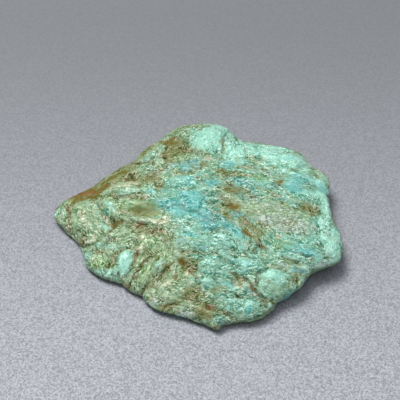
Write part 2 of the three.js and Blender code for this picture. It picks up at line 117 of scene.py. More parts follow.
# The rim line, clockwise from the left tip: x, y and height of the edge above the ground, before the
# front left is thinned.
RIM = [
    (-32.0, 3.6, 4.0), (-31.4, 5.8, 4.1), (-29.8, 7.3, 4.2), (-26.8, 8.8, 4.6), (-23.6, 10.8, 4.8),
    (-19.6, 14.5, 5.0), (-16.4, 17.1, 5.0), (-14.5, 18.1, 5.0), (-13.6, 19.8, 5.1),
    (-10.9, 22.9, 5.2), (-8.0, 25.0, 5.2), (-6.5, 26.8, 5.3), (-3.6, 28.8, 5.4), (-0.3, 29.4, 5.4),
    (3.2, 29.5, 5.4), (6.2, 28.7, 5.3), (8.2, 26.3, 5.2), (9.8, 24.6, 5.0), (13.4, 24.0, 4.9),
    (17.6, 23.0, 4.9), (21.4, 22.0, 4.9), (24.0, 20.0, 4.9), (25.6, 17.0, 4.8), (28.4, 15.0, 4.8),
    (29.5, 12.6, 4.8), (29.2, 9.0, 4.8), (29.2, 5.8, 4.8), (29.8, 0.8, 4.8), (30.9, -2.6, 4.8),
    (31.2, -7.0, 4.7), (30.2, -9.6, 4.6), (27.4, -11.3, 4.5), (24.6, -12.3, 4.5),
    (23.0, -14.2, 4.5), (21.8, -16.7, 4.4), (19.3, -18.5, 4.3), (16.8, -20.4, 4.3),
    (14.4, -23.0, 4.2), (12.0, -24.8, 4.2), (7.9, -25.6, 4.2), (5.8, -26.3, 4.0),
    (4.0, -27.6, 4.0), (2.2, -26.4, 4.0), (-2.2, -24.6, 4.1), (-5.6, -23.6, 4.1),
    (-8.6, -22.6, 4.1), (-11.0, -20.3, 4.2), (-12.3, -18.7, 4.2), (-14.7, -17.3, 4.2),
    (-16.5, -15.7, 4.2), (-20.8, -14.0, 4.2), (-23.7, -11.2, 4.2), (-25.0, -7.2, 4.2),
    (-27.4, -2.8, 4.1), (-30.9, 0.8, 4.0),
]

# Lobes stand on the top: x, y, long half-axis, short half-axis, turn in degrees, height.
LOBES = [
    # left tip and the big rounded lobe beside it
    (-29.9, 1.6, 2.8, 1.9, -60, 0.9), (-28.1, -1.6, 2.2, 1.1, -62, 0.8),
    (-24.0, -1.4, 6.0, 3.8, -62, 1.6), (-24.8, -6.9, 1.0, 0.9, 0, 0.7),
    (-21.3, -6.2, 2.5, 1.2, 35, 0.9), (-21.0, 3.8, 2.2, 0.8, -48, 0.9),
    # folds and lenses between the left tip and the middle
    (-18.6, 1.9, 3.9, 1.5, -52, 1.2), (-16.4, 7.1, 3.6, 2.1, 0, 1.1), (-15.2, 3.0, 3.3, 1.7, -6, 1.0),
    (-11.0, -1.9, 4.6, 1.0, -22, 1.2), (-10.3, 5.7, 2.2, 1.1, -55, 0.9), (-9.3, 11.4, 1.0, 0.9, 0, 0.8),
    (-8.9, 14.8, 1.9, 1.2, -50, 1.0), (-12.5, 13.0, 2.2, 1.3, 10, 0.7), (-12.9, 17.9, 1.4, 1.1, 40, 0.7),
    (-10.6, 18.6, 2.4, 1.1, 52, 0.8), (-18.4, 10.8, 2.5, 1.5, 35, 0.5),
    # lower left: rounded lobes, then leaning ridges between cracks
    (-21.7, -11.6, 3.4, 2.6, 20, 1.3), (-20.4, -13.6, 3.4, 1.3, -14, 0.7),
    (-18.4, -8.8, 1.7, 1.3, 0, 0.7), (-17.8, -14.0, 2.2, 1.0, 80, 0.8), (-15.7, -12.1, 3.2, 1.9, 62, 1.5),
    (-14.2, -15.0, 1.9, 1.1, 52, 0.9), (-11.6, -15.2, 4.1, 1.6, 56, 1.2), (-13.0, -18.2, 1.5, 1.0, -20, 0.7),
    (-8.3, -13.6, 2.4, 1.2, 52, 1.0), (-14.0, -6.4, 1.3, 1.0, 20, 0.7), (-12.0, -6.2, 1.1, 0.9, 0, 0.7),
    (-12.1, -9.0, 1.2, 1.0, 30, 0.8), (-9.9, -7.4, 1.6, 1.2, -30, 0.6), (-16.0, -5.0, 1.6, 1.1, -60, 0.6),
    # bottom: the swirled patch, the long lens and the tip
    (-5.4, -15.8, 1.7, 1.2, 40, 0.8), (-5.6, -18.4, 2.6, 1.3, 15, 0.9), (-3.2, -19.8, 2.3, 1.1, 10, 0.8),
    (-6.6, -20.9, 2.8, 1.2, 8, 0.8), (-1.5, -17.2, 1.6, 1.3, 0, 0.7), (-9.6, -19.6, 1.7, 1.2, -30, 0.7),
    (-1.3, -24.0, 4.0, 1.5, -16, 0.9), (-1.6, -22.4, 2.8, 0.8, -20, 0.6), (4.4, -26.3, 1.8, 1.6, 0, 0.7),
    # middle front: rounded lumps with cracks between them
    (2.6, -13.6, 2.8, 2.3, 0, 1.0), (2.1, -17.6, 1.7, 1.5, 0, 0.7), (2.6, -21.0, 1.9, 1.7, 0, 0.8),
    (6.1, -19.9, 1.9, 1.8, 0, 0.8), (9.0, -19.2, 1.1, 1.1, 0, 0.6), (6.6, -22.9, 1.9, 1.2, 10, 0.6),
    (10.5, -13.3, 3.0, 1.7, -15, 1.1), (6.4, -11.5, 1.7, 0.9, -25, 0.7), (5.1, -7.7, 2.8, 2.1, -5, 1.1),
    (11.3, -8.3, 1.9, 1.8, 90, 0.9), (8.5, -8.7, 1.0, 1.0, 0, 0.6), (-1.2, -7.3, 3.6, 2.1, -4, 0.8),
    (-4.2, -8.0, 2.2, 1.2, 90, 0.7), (9.8, -24.4, 2.8, 1.2, 2, 1.0), (14.0, -22.6, 1.4, 0.9, 25, 0.8),
    # the round nodule at the right of the front, and its neighbours
    (16.7, -17.5, 4.4, 3.8, -12, 2.0), (22.0, -15.3, 2.4, 1.0, 48, 0.9), (23.0, -12.6, 2.6, 1.0, -5, 0.8),
    # right shelf and rim
    (27.8, 10.6, 1.6, 1.3, 0, 0.9), (28.0, 4.0, 3.2, 1.4, 90, 0.9), (27.7, -1.6, 1.9, 1.7, 90, 0.8),
    (29.0, -7.6, 2.5, 2.0, 90, 1.1), (27.6, -10.4, 1.9, 1.0, 20, 0.7), (26.6, -6.0, 2.0, 1.5, -20, 0.7),
    (21.5, -7.4, 5.2, 0.8, -11, 0.6), (22.6, -9.1, 5.0, 0.8, -12, 0.6), (25.2, 12.2, 3.0, 1.5, -25, 0.6),
    (21.5, 10.4, 2.6, 1.5, 0, 0.5),
    # far side: two smooth bulges and the lobes right of them
    (2.6, 22.0, 4.6, 4.1, 90, 1.7), (8.4, 19.0, 3.2, 2.4, 90, 1.0), (8.6, 15.8, 3.2, 1.3, 2, 0.5),
    (-2.4, 21.3, 2.2, 1.4, 110, 0.7), (-5.0, 23.6, 2.8, 1.7, 50, 0.8), (-8.2, 21.2, 1.6, 1.0, 40, 0.5),
    (20.8, 16.9, 2.9, 2.3, -10, 1.3), (16.4, 17.4, 2.6, 2.1, 0, 1.0), (12.4, 18.0, 2.3, 2.0, 0, 0.9),
    (12.0, 21.0, 1.8, 1.1, 0, 0.6), (15.6, 20.4, 2.2, 1.1, -10, 0.6),
    # stepped bands across the middle
    (-2.5, 12.0, 2.9, 0.8, -3, 0.8), (3.5, 5.5, 3.2, 0.8, -17, 0.7), (4.6, 3.0, 2.8, 0.7, -15, 0.9),
    (-2.8, 9.0, 3.2, 1.4, 0, 0.6), (-3.4, 4.8, 2.2, 0.9, -3, 0.5), (10.5, 7.8, 2.4, 1.0, -30, 0.5),
    (13.8, 8.5, 3.0, 1.0, -20, 0.5), (15.5, 2.2, 2.4, 1.3, 0, 0.5), (-3.8, -0.5, 2.6, 1.6, 0, 0.6),
    (1.8, -3.6, 2.6, 1.0, 0, 0.6), (5.6, -2.6, 1.3, 0.9, -60, 0.6),
]

# Hollows sink into the top: x, y, long half-axis, short half-axis, turn in degrees, depth.
HOLLOWS = [
    (-10.6, 1.2, 3.4, 1.5, -5, 0.9), (8.6, -17.0, 2.2, 1.3, -10, 1.0), (23.8, 2.0, 3.2, 1.2, -8, 0.8),
    (13.4, -2.8, 3.6, 1.3, -44, 0.6), (20.0, -11.1, 3.6, 1.0, -8, 0.9), (-6.7, 21.6, 1.4, 0.9, -10, 0.8),
    (-6.0, 18.4, 3.4, 2.2, 0, 0.7), (-24.0, 6.6, 4.5, 1.4, 28, 0.6), (8.0, 8.4, 4.0, 1.4, -20, 0.9),
    (8.4, 1.8, 1.8, 1.0, -30, 0.5), (1.4, 13.9, 1.8, 1.0, 30, 0.8), (-2.5, -13.4, 2.2, 1.3, -20, 1.0),
    (-8.0, -5.4, 3.0, 1.6, 120, 0.5), (12.8, -20.0, 2.2, 1.0, -50, 0.4),
    # small pits
    (-17.7, -2.0, 1.2, 1.1, 0, 0.7), (-30.0, 2.3, 0.8, 0.5, 60, 0.6), (-19.4, -12.9, 0.8, 0.6, 0, 0.6),
    (-3.3, -12.5, 1.2, 0.9, 0, 0.6), (-13.4, -15.5, 0.7, 0.5, 0, 0.6), (11.7, -18.2, 0.7, 0.5, 0, 0.5),
    (7.0, 6.5, 1.8, 0.9, -20, 0.4), (10.4, -5.4, 1.2, 0.6, -20, 0.5), (-20.9, 3.2, 0.5, 0.4, 0, 0.5),
    (18.0, 9.6, 1.6, 0.8, -10, 0.4), (1.8, -23.6, 1.4, 0.6, -20, 0.5), (-0.3, 9.4, 0.5, 0.3, 0, 0.5),
]

# Cracks cut the top and notch the edge: depth, width, then the points along the crack.
CRACKS = [
    (1.0, 0.5, [(-29.2, 5.0), (-28.7, 3.0), (-28.1, 1.0), (-27.8, -1.5), (-27.2, -3.6), (-26.4, -5.2),
                (-25.3, -6.2)]),
    (1.0, 0.45, [(-26.0, -6.3), (-24.6, -6.4), (-22.8, -6.7), (-21.3, -6.1), (-19.9, -4.9), (-18.3, -3.2),
                 (-17.8, -1.6), (-18.8, -0.2)]),
    (0.6, 0.5, [(-16.5, -1.6), (-14.6, -1.7), (-12.6, -2.9), (-10.0, -3.2), (-8.1, -4.2), (-7.0, -5.7),
                (-6.8, -8.0), (-6.0, -10.0), (-4.8, -11.7), (-3.2, -12.7), (-1.4, -13.0), (0.0, -12.1),
                (1.6, -10.9), (3.2, -10.5), (5.0, -10.5)]),
    (0.9, 0.45, [(-17.0, -14.3), (-16.6, -15.6), (-16.1, -16.6), (-15.9, -18.0)]),
    (0.9, 0.45, [(-15.6, -18.2), (-14.6, -16.9), (-13.6, -15.6), (-12.8, -14.3), (-12.0, -12.7),
                (-11.0, -11.6), (-9.8, -11.0)]),
    (0.6, 0.5, [(-19.8, -13.8), (-18.9, -12.8), (-18.7, -11.6)]),
    (0.6, 0.4, [(-9.9, -14.6), (-9.4, -12.8), (-8.2, -11.6)]),
    (0.6, 0.4, [(-8.2, -16.6), (-6.6, -14.2), (-5.3, -12.9)]),
    (1.0, 0.5, [(-12.6, -20.4), (-11.9, -18.6), (-10.6, -17.6)]),
    (0.7, 0.4, [(-1.6, -14.8), (-0.4, -16.4), (0.3, -18.0), (0.5, -19.3), (1.2, -20.6), (1.4, -22.4),
                (2.6, -23.6)]),
    (1.0, 0.5, [(7.0, -15.4), (9.2, -15.9), (11.0, -17.4), (12.0, -18.9), (13.2, -20.1), (15.0, -21.4)]),
    (0.9, 0.45, [(15.3, -13.6), (13.5, -14.8), (12.5, -16.5), (12.5, -18.5), (13.2, -20.1)]),
    (0.7, 0.4, [(20.9, -14.2), (21.2, -15.8), (21.0, -17.6)]),
    (0.6, 0.35, [(7.4, 27.4), (6.4, 24.4), (6.1, 22.0), (5.8, 19.6), (5.4, 17.4)]),
    (0.5, 0.5, [(5.8, 13.4), (9.0, 13.3), (12.0, 13.7), (16.0, 13.1), (20.0, 13.0), (22.4, 14.2),
                (25.0, 17.0)]),
    (0.7, 0.45, [(-15.6, 17.4), (-13.6, 15.9), (-12.0, 15.9), (-10.4, 15.4), (-9.2, 13.0)]),
    (1.0, 1.0, [(31.0, 8.4), (28.9, 8.0)]),
    (0.6, 0.4, [(3.6, -17.3), (4.4, -17.9), (5.6, -17.7)]),
    (0.8, 0.5, [(13.2, -22.0), (14.4, -22.2)]),
    # finer ones
    (0.5, 0.3, [(-4.0, 6.3), (-2.4, 6.0), (-1.2, 6.1)]),
    (0.4, 0.3, [(-0.5, -6.8), (0.6, -6.2), (2.2, -5.6), (3.4, -5.9)]),
    (0.5, 0.3, [(3.0, 8.2), (4.4, 7.6), (6.4, 6.9), (8.4, 5.6), (10.2, 5.2)]),
    (0.5, 0.3, [(-23.6, 5.0), (-22.6, 4.4), (-21.4, 2.4), (-20.6, 0.6), (-20.2, -1.2), (-20.6, -3.0)]),
    (0.4, 0.3, [(-26.6, 4.6), (-25.4, 3.2), (-24.4, 2.6), (-23.4, 1.2)]),
    (0.5, 0.3, [(-19.0, 7.0), (-18.0, 4.9), (-15.8, 4.7), (-13.4, 5.0), (-12.2, 6.6)]),
    (0.5, 0.35, [(-13.2, -8.2), (-13.3, -9.6), (-13.0, -11.0)]),
    (0.4, 0.3, [(-10.8, -4.6), (-11.0, -6.6), (-10.4, -8.4), (-10.6, -10.4)]),
    (0.5, 0.3, [(13.8, -4.4), (14.8, -6.4), (14.0, -8.8), (12.8, -10.4), (9.4, -10.9), (7.4, -10.0)]),
    (0.4, 0.3, [(16.4, -8.0), (19.4, -9.4), (23.4, -10.3), (26.2, -9.0)]),
    (0.4, 0.3, [(-8.2, -24.0), (-6.6, -22.2), (-3.4, -22.0), (0.2, -22.6)]),
    (0.4, 0.3, [(5.4, 14.0), (4.2, 16.0), (5.4, 17.8)]),
    (0.4, 0.3, [(10.6, 24.6), (10.4, 21.4), (10.8, 18.6), (11.0, 16.0)]),
]

# Cracks that run round a rounded form: depth, width, then the ellipse and the turns, in degrees from
# its long axis, between which the crack runs.
CRACK_RINGS = [
    (0.65, 0.32, (-15.7, -12.1, 3.7, 2.1, 62), (-150, 170)),
    (0.75, 0.34, (16.6, -17.3, 4.4, 3.7, -12), (-5, 215)),
    (0.42, 0.26, (-16.4, 7.1, 3.7, 2.0, 0), (10, 330)),
    (0.42, 0.26, (-21.2, -11.4, 3.8, 2.8, 20), (30, 140)),
    (0.42, 0.26, (2.6, -13.6, 3.0, 2.4, 0), (20, 290)),
    (0.42, 0.26, (5.1, -7.7, 2.9, 2.1, -5), (160, 400)),
    (0.42, 0.26, (9.9, -13.2, 3.1, 1.9, -15), (-60, 200)),
    (0.42, 0.26, (-1.2, -7.3, 3.6, 2.1, -4), (20, 200)),
    (0.42, 0.26, (20.8, 16.9, 3.0, 2.3, -10), (100, 330)),
    (0.42, 0.26, (27.8, 4.0, 3.2, 1.5, 90), (20, 200)),
    (0.42, 0.26, (28.8, -7.0, 3.0, 2.1, 90), (0, 190)),
    (0.5, 0.3, (-23.8, 1.4, 3.2, 3.0, -62), (-170, 60)),
]
RING_POINTS = 15

# Which way the grain runs on the top: x, y, turn in degrees.
GRAIN = [
    (-29, 2, 60), (-26, 6, 28), (-20, 11, 36), (-16, 14, 38), (-12, 18, 46), (-7, 24, 45),
    (-24, -2, -62), (-22, 3, -50), (-19, 0, -55), (-16, 7, 0), (-15, 3, -8), (-11, 2, -6),
    (-10, 6, -50), (-9, 14, -20), (-11, -2, -24), (-8, -5, -50), (-22, -10, -40), (-18, -9, -30),
    (-16, -12, 62), (-12, -15, 56), (-8, -13, 54), (-14, -6, 20), (-9, -8, -75), (-5, -17, 40),
    (-4, -20, 8), (-8, -20, -20), (-2, -24, -24), (2, -21, -30), (-6, 11, 0), (-2, 13, 0),
    (-3, 9, -4), (-3, 5, -8), (-4, 0, -14), (-6, -3, -20), (-2, -7, -14), (3, 6, -20), (5, 2, -22),
    (2, -3, -22), (7, -4, -34), (8, 8, -22), (8, 13, 4), (2, 21, 84), (8, 20, 88), (13, 19, -6),
    (20, 17, -8), (16, 21, -10), (15, 9, -14), (22, 10, -18), (27, 11, -30), (28, 3, 86),
    (29, -6, 84), (20, 2, -14), (14, 0, -28), (21, -3, -12), (14, -6, -55), (22, -8, -12),
    (25, -11, 8), (18, -12, -8), (10, -13, -18), (5, -8, -10), (11, -8, 80), (3, -13, -8),
    (16, -17, -26), (20, -16, 40), (8, -17, -16), (7, -20, -12), (10, -24, 4), (4, -26, 20),
]
GRAIN_REACH = 2.6

# Where the surface is smooth and its scales and web of cracks fade: x, y, the half-axes along and
# across, turn in degrees, and by how much.
SMOOTH = [
    (16.7, -17.3, 4.2, 3.4, -12, 0.55), (2.8, 22.5, 4.4, 4.2, 90, 0.55), (-10.8, 1.5, 3.4, 1.4, -5, 0.85),
    (-15.6, -12.0, 2.8, 1.7, 62, 0.5), (20.4, 17.2, 3.4, 2.4, -10, 0.5), (-24.0, 7.4, 4.6, 1.4, 26, 0.5),
    (-19.0, 11.6, 3.0, 1.6, 36, 0.5), (28.8, -6.5, 1.8, 2.8, 0, 0.5), (7.6, 14.6, 2.2, 0.8, 0, 0.4),
    (-9.0, -22.0, 2.0, 1.0, -20, 0.3),
]
SMOOTH_FALL = 0.8

# The stone's colours, as sRGB: its patches, then the brown painted shade of low ground, and the brown of
# cracks and seams.
COLOURS = {
    "sage": "#8AA682", "turquoise": "#78B4A1", "sky": "#62B2AE", "teal": "#589690", "mint": "#A2DCC8",
    "green": "#86AA74", "olive": "#6E763E", "ochre": "#6C5C0E", "cream": "#C8C8AA", "grey": "#A8B9B0",
    "rust": "#85552C", "painted_low_shade": "#76683A", "crack": "#5C3C1E", "seam": "#60401F",
}

# Patches of each colour on the top: x, y, the half-axes along and across, turn in degrees, and how
# strong the colour is in the middle.
PATCHES = {
    "turquoise": [
        (-3.0, 6.0, 6.0, 4.5, 0, 0.9), (1.0, -2.0, 7.0, 4.5, -15, 0.9), (4.0, 22.0, 6.5, 6.0, 0, 0.9),
        (17.0, 18.0, 8.0, 4.0, -10, 0.9), (12.0, 9.0, 8.0, 3.5, -15, 0.7),
        (23.0, 9.0, 6.0, 4.0, -15, 0.8), (27.0, -3.0, 4.0, 8.0, 0, 0.8), (20.0, -8.0, 9.0, 3.0, -10, 0.8),
        (5.0, -9.0, 8.0, 3.5, -10, 0.8), (3.0, -13.5, 5.0, 3.0, 0, 0.7),
        (10.0, -13.0, 4.0, 2.5, -15, 0.7), (9.0, -22.0, 5.0, 3.0, 0, 0.7),
        (16.5, -17.0, 4.5, 4.0, -12, 0.7), (-15.6, -12.0, 3.0, 2.0, 62, 0.7),
        (-8.0, -13.5, 2.6, 1.4, 50, 0.5), (-10.5, 5.6, 2.6, 1.8, -50, 0.6),
        (-11.0, 13.0, 3.0, 1.6, 0, 0.4), (-19.5, 3.0, 3.0, 1.2, -48, 0.4),
        (-25.0, -8.6, 2.0, 2.0, 0, 0.4), (3.0, -18.5, 3.0, 2.0, 0, 0.5), (-31.0, 3.5, 2.0, 1.6, 0, 0.5),
        (6.0, -19.0, 3.0, 2.0, 0, 0.5), (-9.4, 18.2, 2.6, 1.4, 40, 0.6), (-20.6, 1.4, 2.4, 1.2, -48, 0.6),
        (-19.6, -7.6, 2.6, 1.4, 0, 0.6), (12.0, -25.0, 3.4, 1.6, 0, 0.6),
        (-1.0, -25.0, 2.8, 1.0, -20, 0.5),
    ],
    "sky": [
        (-10.2, 5.6, 1.6, 1.0, -50, 0.8), (-1.8, 8.8, 2.2, 1.0, 0, 0.6), (2.5, 8.2, 2.4, 1.1, -10, 0.8),
        (-0.9, 3.9, 3.2, 1.6, 0, 0.85), (-3.5, 1.3, 3.4, 1.7, -10, 1.0), (-7.6, 2.2, 2.0, 1.2, 0, 0.7),
        (2.7, -2.3, 2.4, 1.8, -20, 1.0), (7.7, -4.5, 2.9, 1.1, -35, 0.9),
        (-1.0, -5.0, 3.0, 1.5, -10, 0.5), (-3.2, -7.3, 2.0, 1.3, 0, 0.5), (1.1, -8.6, 1.0, 0.7, 0, 0.8),
        (5.5, -9.6, 1.6, 1.0, 0, 0.5), (6.0, -11.7, 2.0, 1.2, -20, 0.6), (23.2, -9.2, 3.8, 1.0, -12, 0.8),
        (22.3, 11.0, 2.8, 1.6, -15, 0.6), (21.6, 7.8, 2.4, 1.2, -15, 0.6), (7.5, 14.6, 2.4, 1.0, 0, 0.7),
        (-2.9, 13.5, 2.8, 1.2, 0, 0.7), (9.9, -13.3, 1.4, 1.0, 0, 0.6), (6.0, -18.5, 1.8, 1.2, 0, 0.6),
        (11.3, -23.6, 1.6, 0.9, 0, 0.5), (-16.2, -13.0, 1.6, 1.0, 62, 0.3),
        (11.5, -1.0, 2.2, 1.2, -30, 0.6), (-8.3, -13.7, 1.8, 0.9, 50, 0.5),
        (-2.4, 1.6, 3.0, 1.4, -10, 0.3), (0.5, 0.5, 3.0, 1.5, -15, 0.7), (-3.0, 5.4, 1.6, 0.9, 0, 0.5),
        (2.2, 24.4, 2.2, 1.0, 0, 0.45), (-2.6, 11.8, 2.4, 0.8, 0, 0.5), (27.4, 9.4, 1.4, 2.2, 0, 0.5),
        (20.6, 16.4, 2.4, 1.4, -20, 0.4), (21.4, -13.4, 1.8, 0.7, 0, 0.4),
        (11.8, -7.0, 1.4, 1.0, -60, 0.5), (19.6, 4.6, 3.0, 1.5, -15, 0.5),
    ],
    "teal": [
        (-2.4, 14.2, 3.4, 0.9, 0, 0.9), (9.4, 9.0, 2.6, 1.2, -20, 0.8), (9.0, -1.0, 2.4, 1.0, -35, 0.9),
        (11.0, 6.0, 2.4, 1.0, -20, 0.5), (-11.0, 12.7, 2.0, 1.0, 0, 0.5), (6.7, 26.0, 1.4, 0.9, 0, 0.5),
        (11.4, -19.3, 1.8, 1.1, -40, 0.9), (22.4, -13.2, 2.4, 0.8, 0, 0.5),
        (4.3, -25.6, 1.5, 1.2, 0, 0.6), (2.0, -18.6, 1.5, 1.2, 0, 0.5), (-10.5, -19.5, 1.4, 1.0, 0, 0.4),
        (3.0, -1.4, 2.8, 1.5, -20, 0.95), (-9.0, 8.6, 1.4, 0.8, 0, 0.5), (-1.0, 11.0, 2.8, 0.5, 0, 0.5),
        (4.2, 4.0, 2.4, 1.2, -20, 0.7), (9.2, -0.6, 2.6, 1.2, -35, 0.5), (10.5, 5.5, 4.0, 2.0, -45, 0.6),
    ],
    "mint": [
        (3.0, 22.6, 4.2, 4.2, 0, 1.0), (7.8, 18.4, 3.2, 2.2, 90, 0.8), (11.4, 21.6, 2.2, 1.5, 0, 0.75),
        (13.6, 18.0, 2.8, 1.7, 0, 0.7), (20.0, 17.0, 3.6, 3.0, 0, 1.0), (17.0, 20.4, 3.2, 1.6, -10, 0.8),
        (27.5, 10.0, 1.6, 2.8, 0, 0.75), (28.6, -6.5, 1.9, 3.2, 0, 0.95), (27.8, -0.5, 1.6, 2.4, 0, 0.75),
        (16.8, -17.2, 3.8, 3.2, -12, 0.65), (14.2, -16.0, 1.8, 1.2, -20, 0.3),
        (-31.5, 3.8, 1.2, 1.0, 0, 0.6), (-24.3, -8.8, 1.2, 1.5, 0, 0.5), (-19.7, -2.2, 1.6, 1.2, 0, 0.6),
        (-15.7, 6.7, 2.3, 1.1, 0, 0.6), (-15.6, -11.9, 3.0, 1.5, 62, 0.75),
        (2.5, -13.0, 2.6, 2.0, 0, 0.5), (3.6, -7.2, 2.0, 1.2, 0, 0.6), (6.4, -7.3, 1.4, 1.0, 0, 0.5),
        (9.7, -22.3, 2.2, 1.0, 0, 0.6), (15.1, -21.6, 1.4, 0.8, 0, 0.5), (22.4, -12.4, 1.6, 1.0, 0, 0.4),
        (28.0, 4.0, 3.0, 1.2, 90, 0.6), (0.5, -4.9, 1.8, 1.0, -15, 0.7), (-19.4, 3.2, 2.0, 0.9, -48, 0.7),
        (-9.0, 18.0, 1.6, 0.8, 40, 0.35), (16.0, 13.6, 4.6, 1.3, -10, 0.5),
        (-19.8, -7.4, 1.8, 0.9, 0, 0.3), (-20.5, -14.0, 2.6, 1.2, -10, 0.5),
        (24.0, 14.6, 3.0, 1.6, -30, 0.5), (24.6, 6.6, 2.6, 1.4, -12, 0.4),
        (23.0, -10.4, 3.8, 1.1, -12, 0.5), (5.4, 27.0, 2.4, 1.4, -20, 0.5), (7.5, 14.6, 1.8, 0.7, 0, 0.6),
        (5.5, -9.6, 1.4, 0.8, 0, 0.5), (9.9, -13.3, 1.6, 1.0, 0, 0.5),
        (-22.6, -13.0, 2.6, 1.2, -25, 0.75), (-14.2, -14.6, 1.2, 0.6, 50, 0.5),
        (7.4, -9.2, 2.0, 1.0, 0, 0.4), (2.0, -17.2, 1.6, 0.8, 0, 0.5), (20.0, 9.4, 3.0, 1.0, -15, 0.35),
        (-6.8, 25.6, 1.6, 1.0, 40, 0.4),
    ],
    "green": [
        (-21.0, -12.0, 3.6, 1.9, -10, 0.7), (-18.3, -14.5, 1.5, 1.0, 0, 0.6),
        (-8.4, -9.0, 1.6, 1.2, 0, 0.7), (-10.7, -7.0, 1.6, 1.2, 0, 0.6),
        (-11.4, -15.2, 3.2, 1.4, 52, 0.7), (-21.0, 2.5, 1.4, 1.0, 0, 0.6),
        (-26.4, -1.2, 1.5, 1.0, 0, 0.5), (-28.3, 5.7, 1.5, 0.8, 20, 0.6), (3.2, 19.3, 1.2, 1.0, 0, 0.4),
        (-11.6, -19.0, 1.5, 1.0, 0, 0.5), (18.6, -19.7, 2.2, 1.1, 30, 0.7),
        (-15.8, 2.8, 2.0, 1.0, 0, 0.5), (13.2, 10.4, 3.0, 1.2, -10, 0.6),
        (-12.0, -11.0, 2.6, 2.0, 50, 0.5), (-14.0, 14.0, 2.6, 1.4, 30, 0.6),
        (-5.0, -16.0, 3.0, 2.0, 20, 0.4), (-7.0, -11.0, 2.0, 1.4, 60, 0.5),
        (15.0, -10.0, 2.0, 1.2, -40, 0.4), (-8.0, 10.0, 2.4, 1.4, 0, 0.4),
        (0.0, -21.5, 3.0, 1.6, -20, 0.4), (-17.0, -6.5, 2.4, 1.4, 20, 0.4),
        (17.0, -18.9, 3.4, 1.7, -10, 0.65), (-20.0, 8.0, 3.0, 1.5, 20, 0.4),
        (-25.5, 3.0, 2.0, 1.5, 0, 0.3), (-10.8, 1.6, 3.6, 1.8, -3, 0.95),
        (10.4, 6.6, 3.2, 1.6, -30, 0.55), (-1.5, -6.6, 2.2, 1.2, 0, 0.5),
        (18.4, -7.8, 2.6, 1.1, -12, 0.7),
    ],
    "olive": [
        (-26.0, 8.6, 3.0, 1.0, 22, 0.7), (-21.5, 12.2, 3.4, 1.0, 38, 0.8),
        (-17.5, 15.2, 2.6, 1.2, 38, 0.7), (-11.0, 21.4, 3.0, 1.3, 45, 0.6),
        (-14.0, 17.6, 3.0, 1.2, 42, 0.5), (-6.5, 25.0, 2.2, 1.2, 40, 0.5),
        (-16.0, 13.0, 2.8, 1.6, 35, 0.9), (-19.2, 10.4, 3.2, 1.5, 30, 0.75),
        (-10.8, 1.6, 3.2, 1.4, -3, 0.4), (-8.7, 8.2, 1.8, 1.3, 0, 0.7), (-10.4, 10.2, 2.4, 1.2, 20, 0.5),
        (-4.6, 18.0, 3.2, 2.3, 0, 0.95), (-13.4, 11.2, 4.0, 1.5, 25, 0.55),
        (6.0, 1.6, 1.4, 0.9, -30, 0.7), (-6.9, 17.6, 1.8, 1.1, 0, 0.6), (-5.0, 20.6, 2.6, 1.5, 20, 0.75),
        (-3.6, 25.6, 1.8, 1.4, 30, 0.4), (1.7, 17.0, 1.2, 0.8, 0, 0.5), (5.9, 20.5, 3.6, 0.5, 88, 0.6),
        (6.0, 11.2, 2.2, 1.3, 0, 0.75), (9.6, 11.2, 3.8, 0.8, -10, 0.75), (7.0, 6.5, 2.4, 1.4, -20, 0.9),
        (5.4, -0.6, 2.0, 1.2, -30, 0.85), (11.2, -4.2, 2.4, 1.2, -48, 0.85),
        (12.6, -6.4, 2.4, 1.3, -50, 0.85), (10.6, -2.2, 1.6, 1.0, -30, 0.6),
        (10.6, -8.6, 1.8, 1.0, -40, 0.5), (17.5, -6.5, 2.4, 1.0, -12, 0.5),
        (24.0, 3.0, 2.6, 1.1, -8, 0.85), (18.0, 11.5, 1.8, 1.0, 0, 0.5), (-19.4, -12.9, 1.1, 0.8, 0, 0.4),
        (-6.4, -13.8, 2.6, 0.8, 52, 0.7), (-1.8, -14.2, 2.0, 1.2, -20, 0.75),
        (-4.4, -17.2, 1.6, 1.0, 0, 0.6), (-7.0, -22.7, 2.2, 0.8, -10, 0.65),
        (-1.7, -20.2, 2.8, 1.2, 0, 0.8), (1.2, -24.4, 2.4, 1.1, 0, 0.8), (7.6, 2.6, 2.2, 1.3, -30, 0.75),
        (-12.0, 9.0, 3.0, 1.2, 20, 0.4), (0.8, -22.8, 2.0, 1.0, 0, 0.65),
        (9.0, -16.2, 1.9, 1.1, -10, 0.65), (4.6, -19.6, 2.2, 1.1, 10, 0.7),
        (-13.5, 1.1, 1.6, 1.1, 0, 0.75), (-10.0, -4.2, 2.2, 0.9, -20, 0.55),
        (-23.0, -12.3, 1.8, 1.0, -30, 0.55), (-13.4, -3.6, 2.2, 1.0, -20, 0.4),
        (-6.0, -7.0, 2.0, 1.0, 110, 0.45), (-3.0, -10.6, 2.0, 1.0, -20, 0.35),
        (-1.5, -12.6, 2.6, 1.6, 0, 0.8), (-25.4, -4.5, 1.6, 1.2, -60, 0.45),
        (10.0, -10.4, 1.6, 0.8, 0, 0.4), (-4.0, -22.0, 2.6, 0.8, -10, 0.5),
        (11.0, 5.5, 3.0, 1.0, -45, 0.55),
    ],
    "ochre": [
        (-27.0, 8.2, 2.6, 0.9, 22, 0.6), (-23.0, 10.2, 2.6, 0.8, 30, 0.5),
        (-11.5, 21.0, 1.6, 0.7, 45, 0.4), (-24.0, 7.2, 4.0, 1.2, 16, 1.0),
        (-26.3, 6.0, 1.8, 0.8, 25, 0.4), (-6.7, 22.3, 1.8, 1.2, -10, 1.0),
        (-4.6, 18.4, 1.4, 0.7, 20, 0.6), (-18.0, -1.8, 1.3, 1.1, 0, 1.0), (7.9, 2.2, 1.8, 1.0, -30, 0.8),
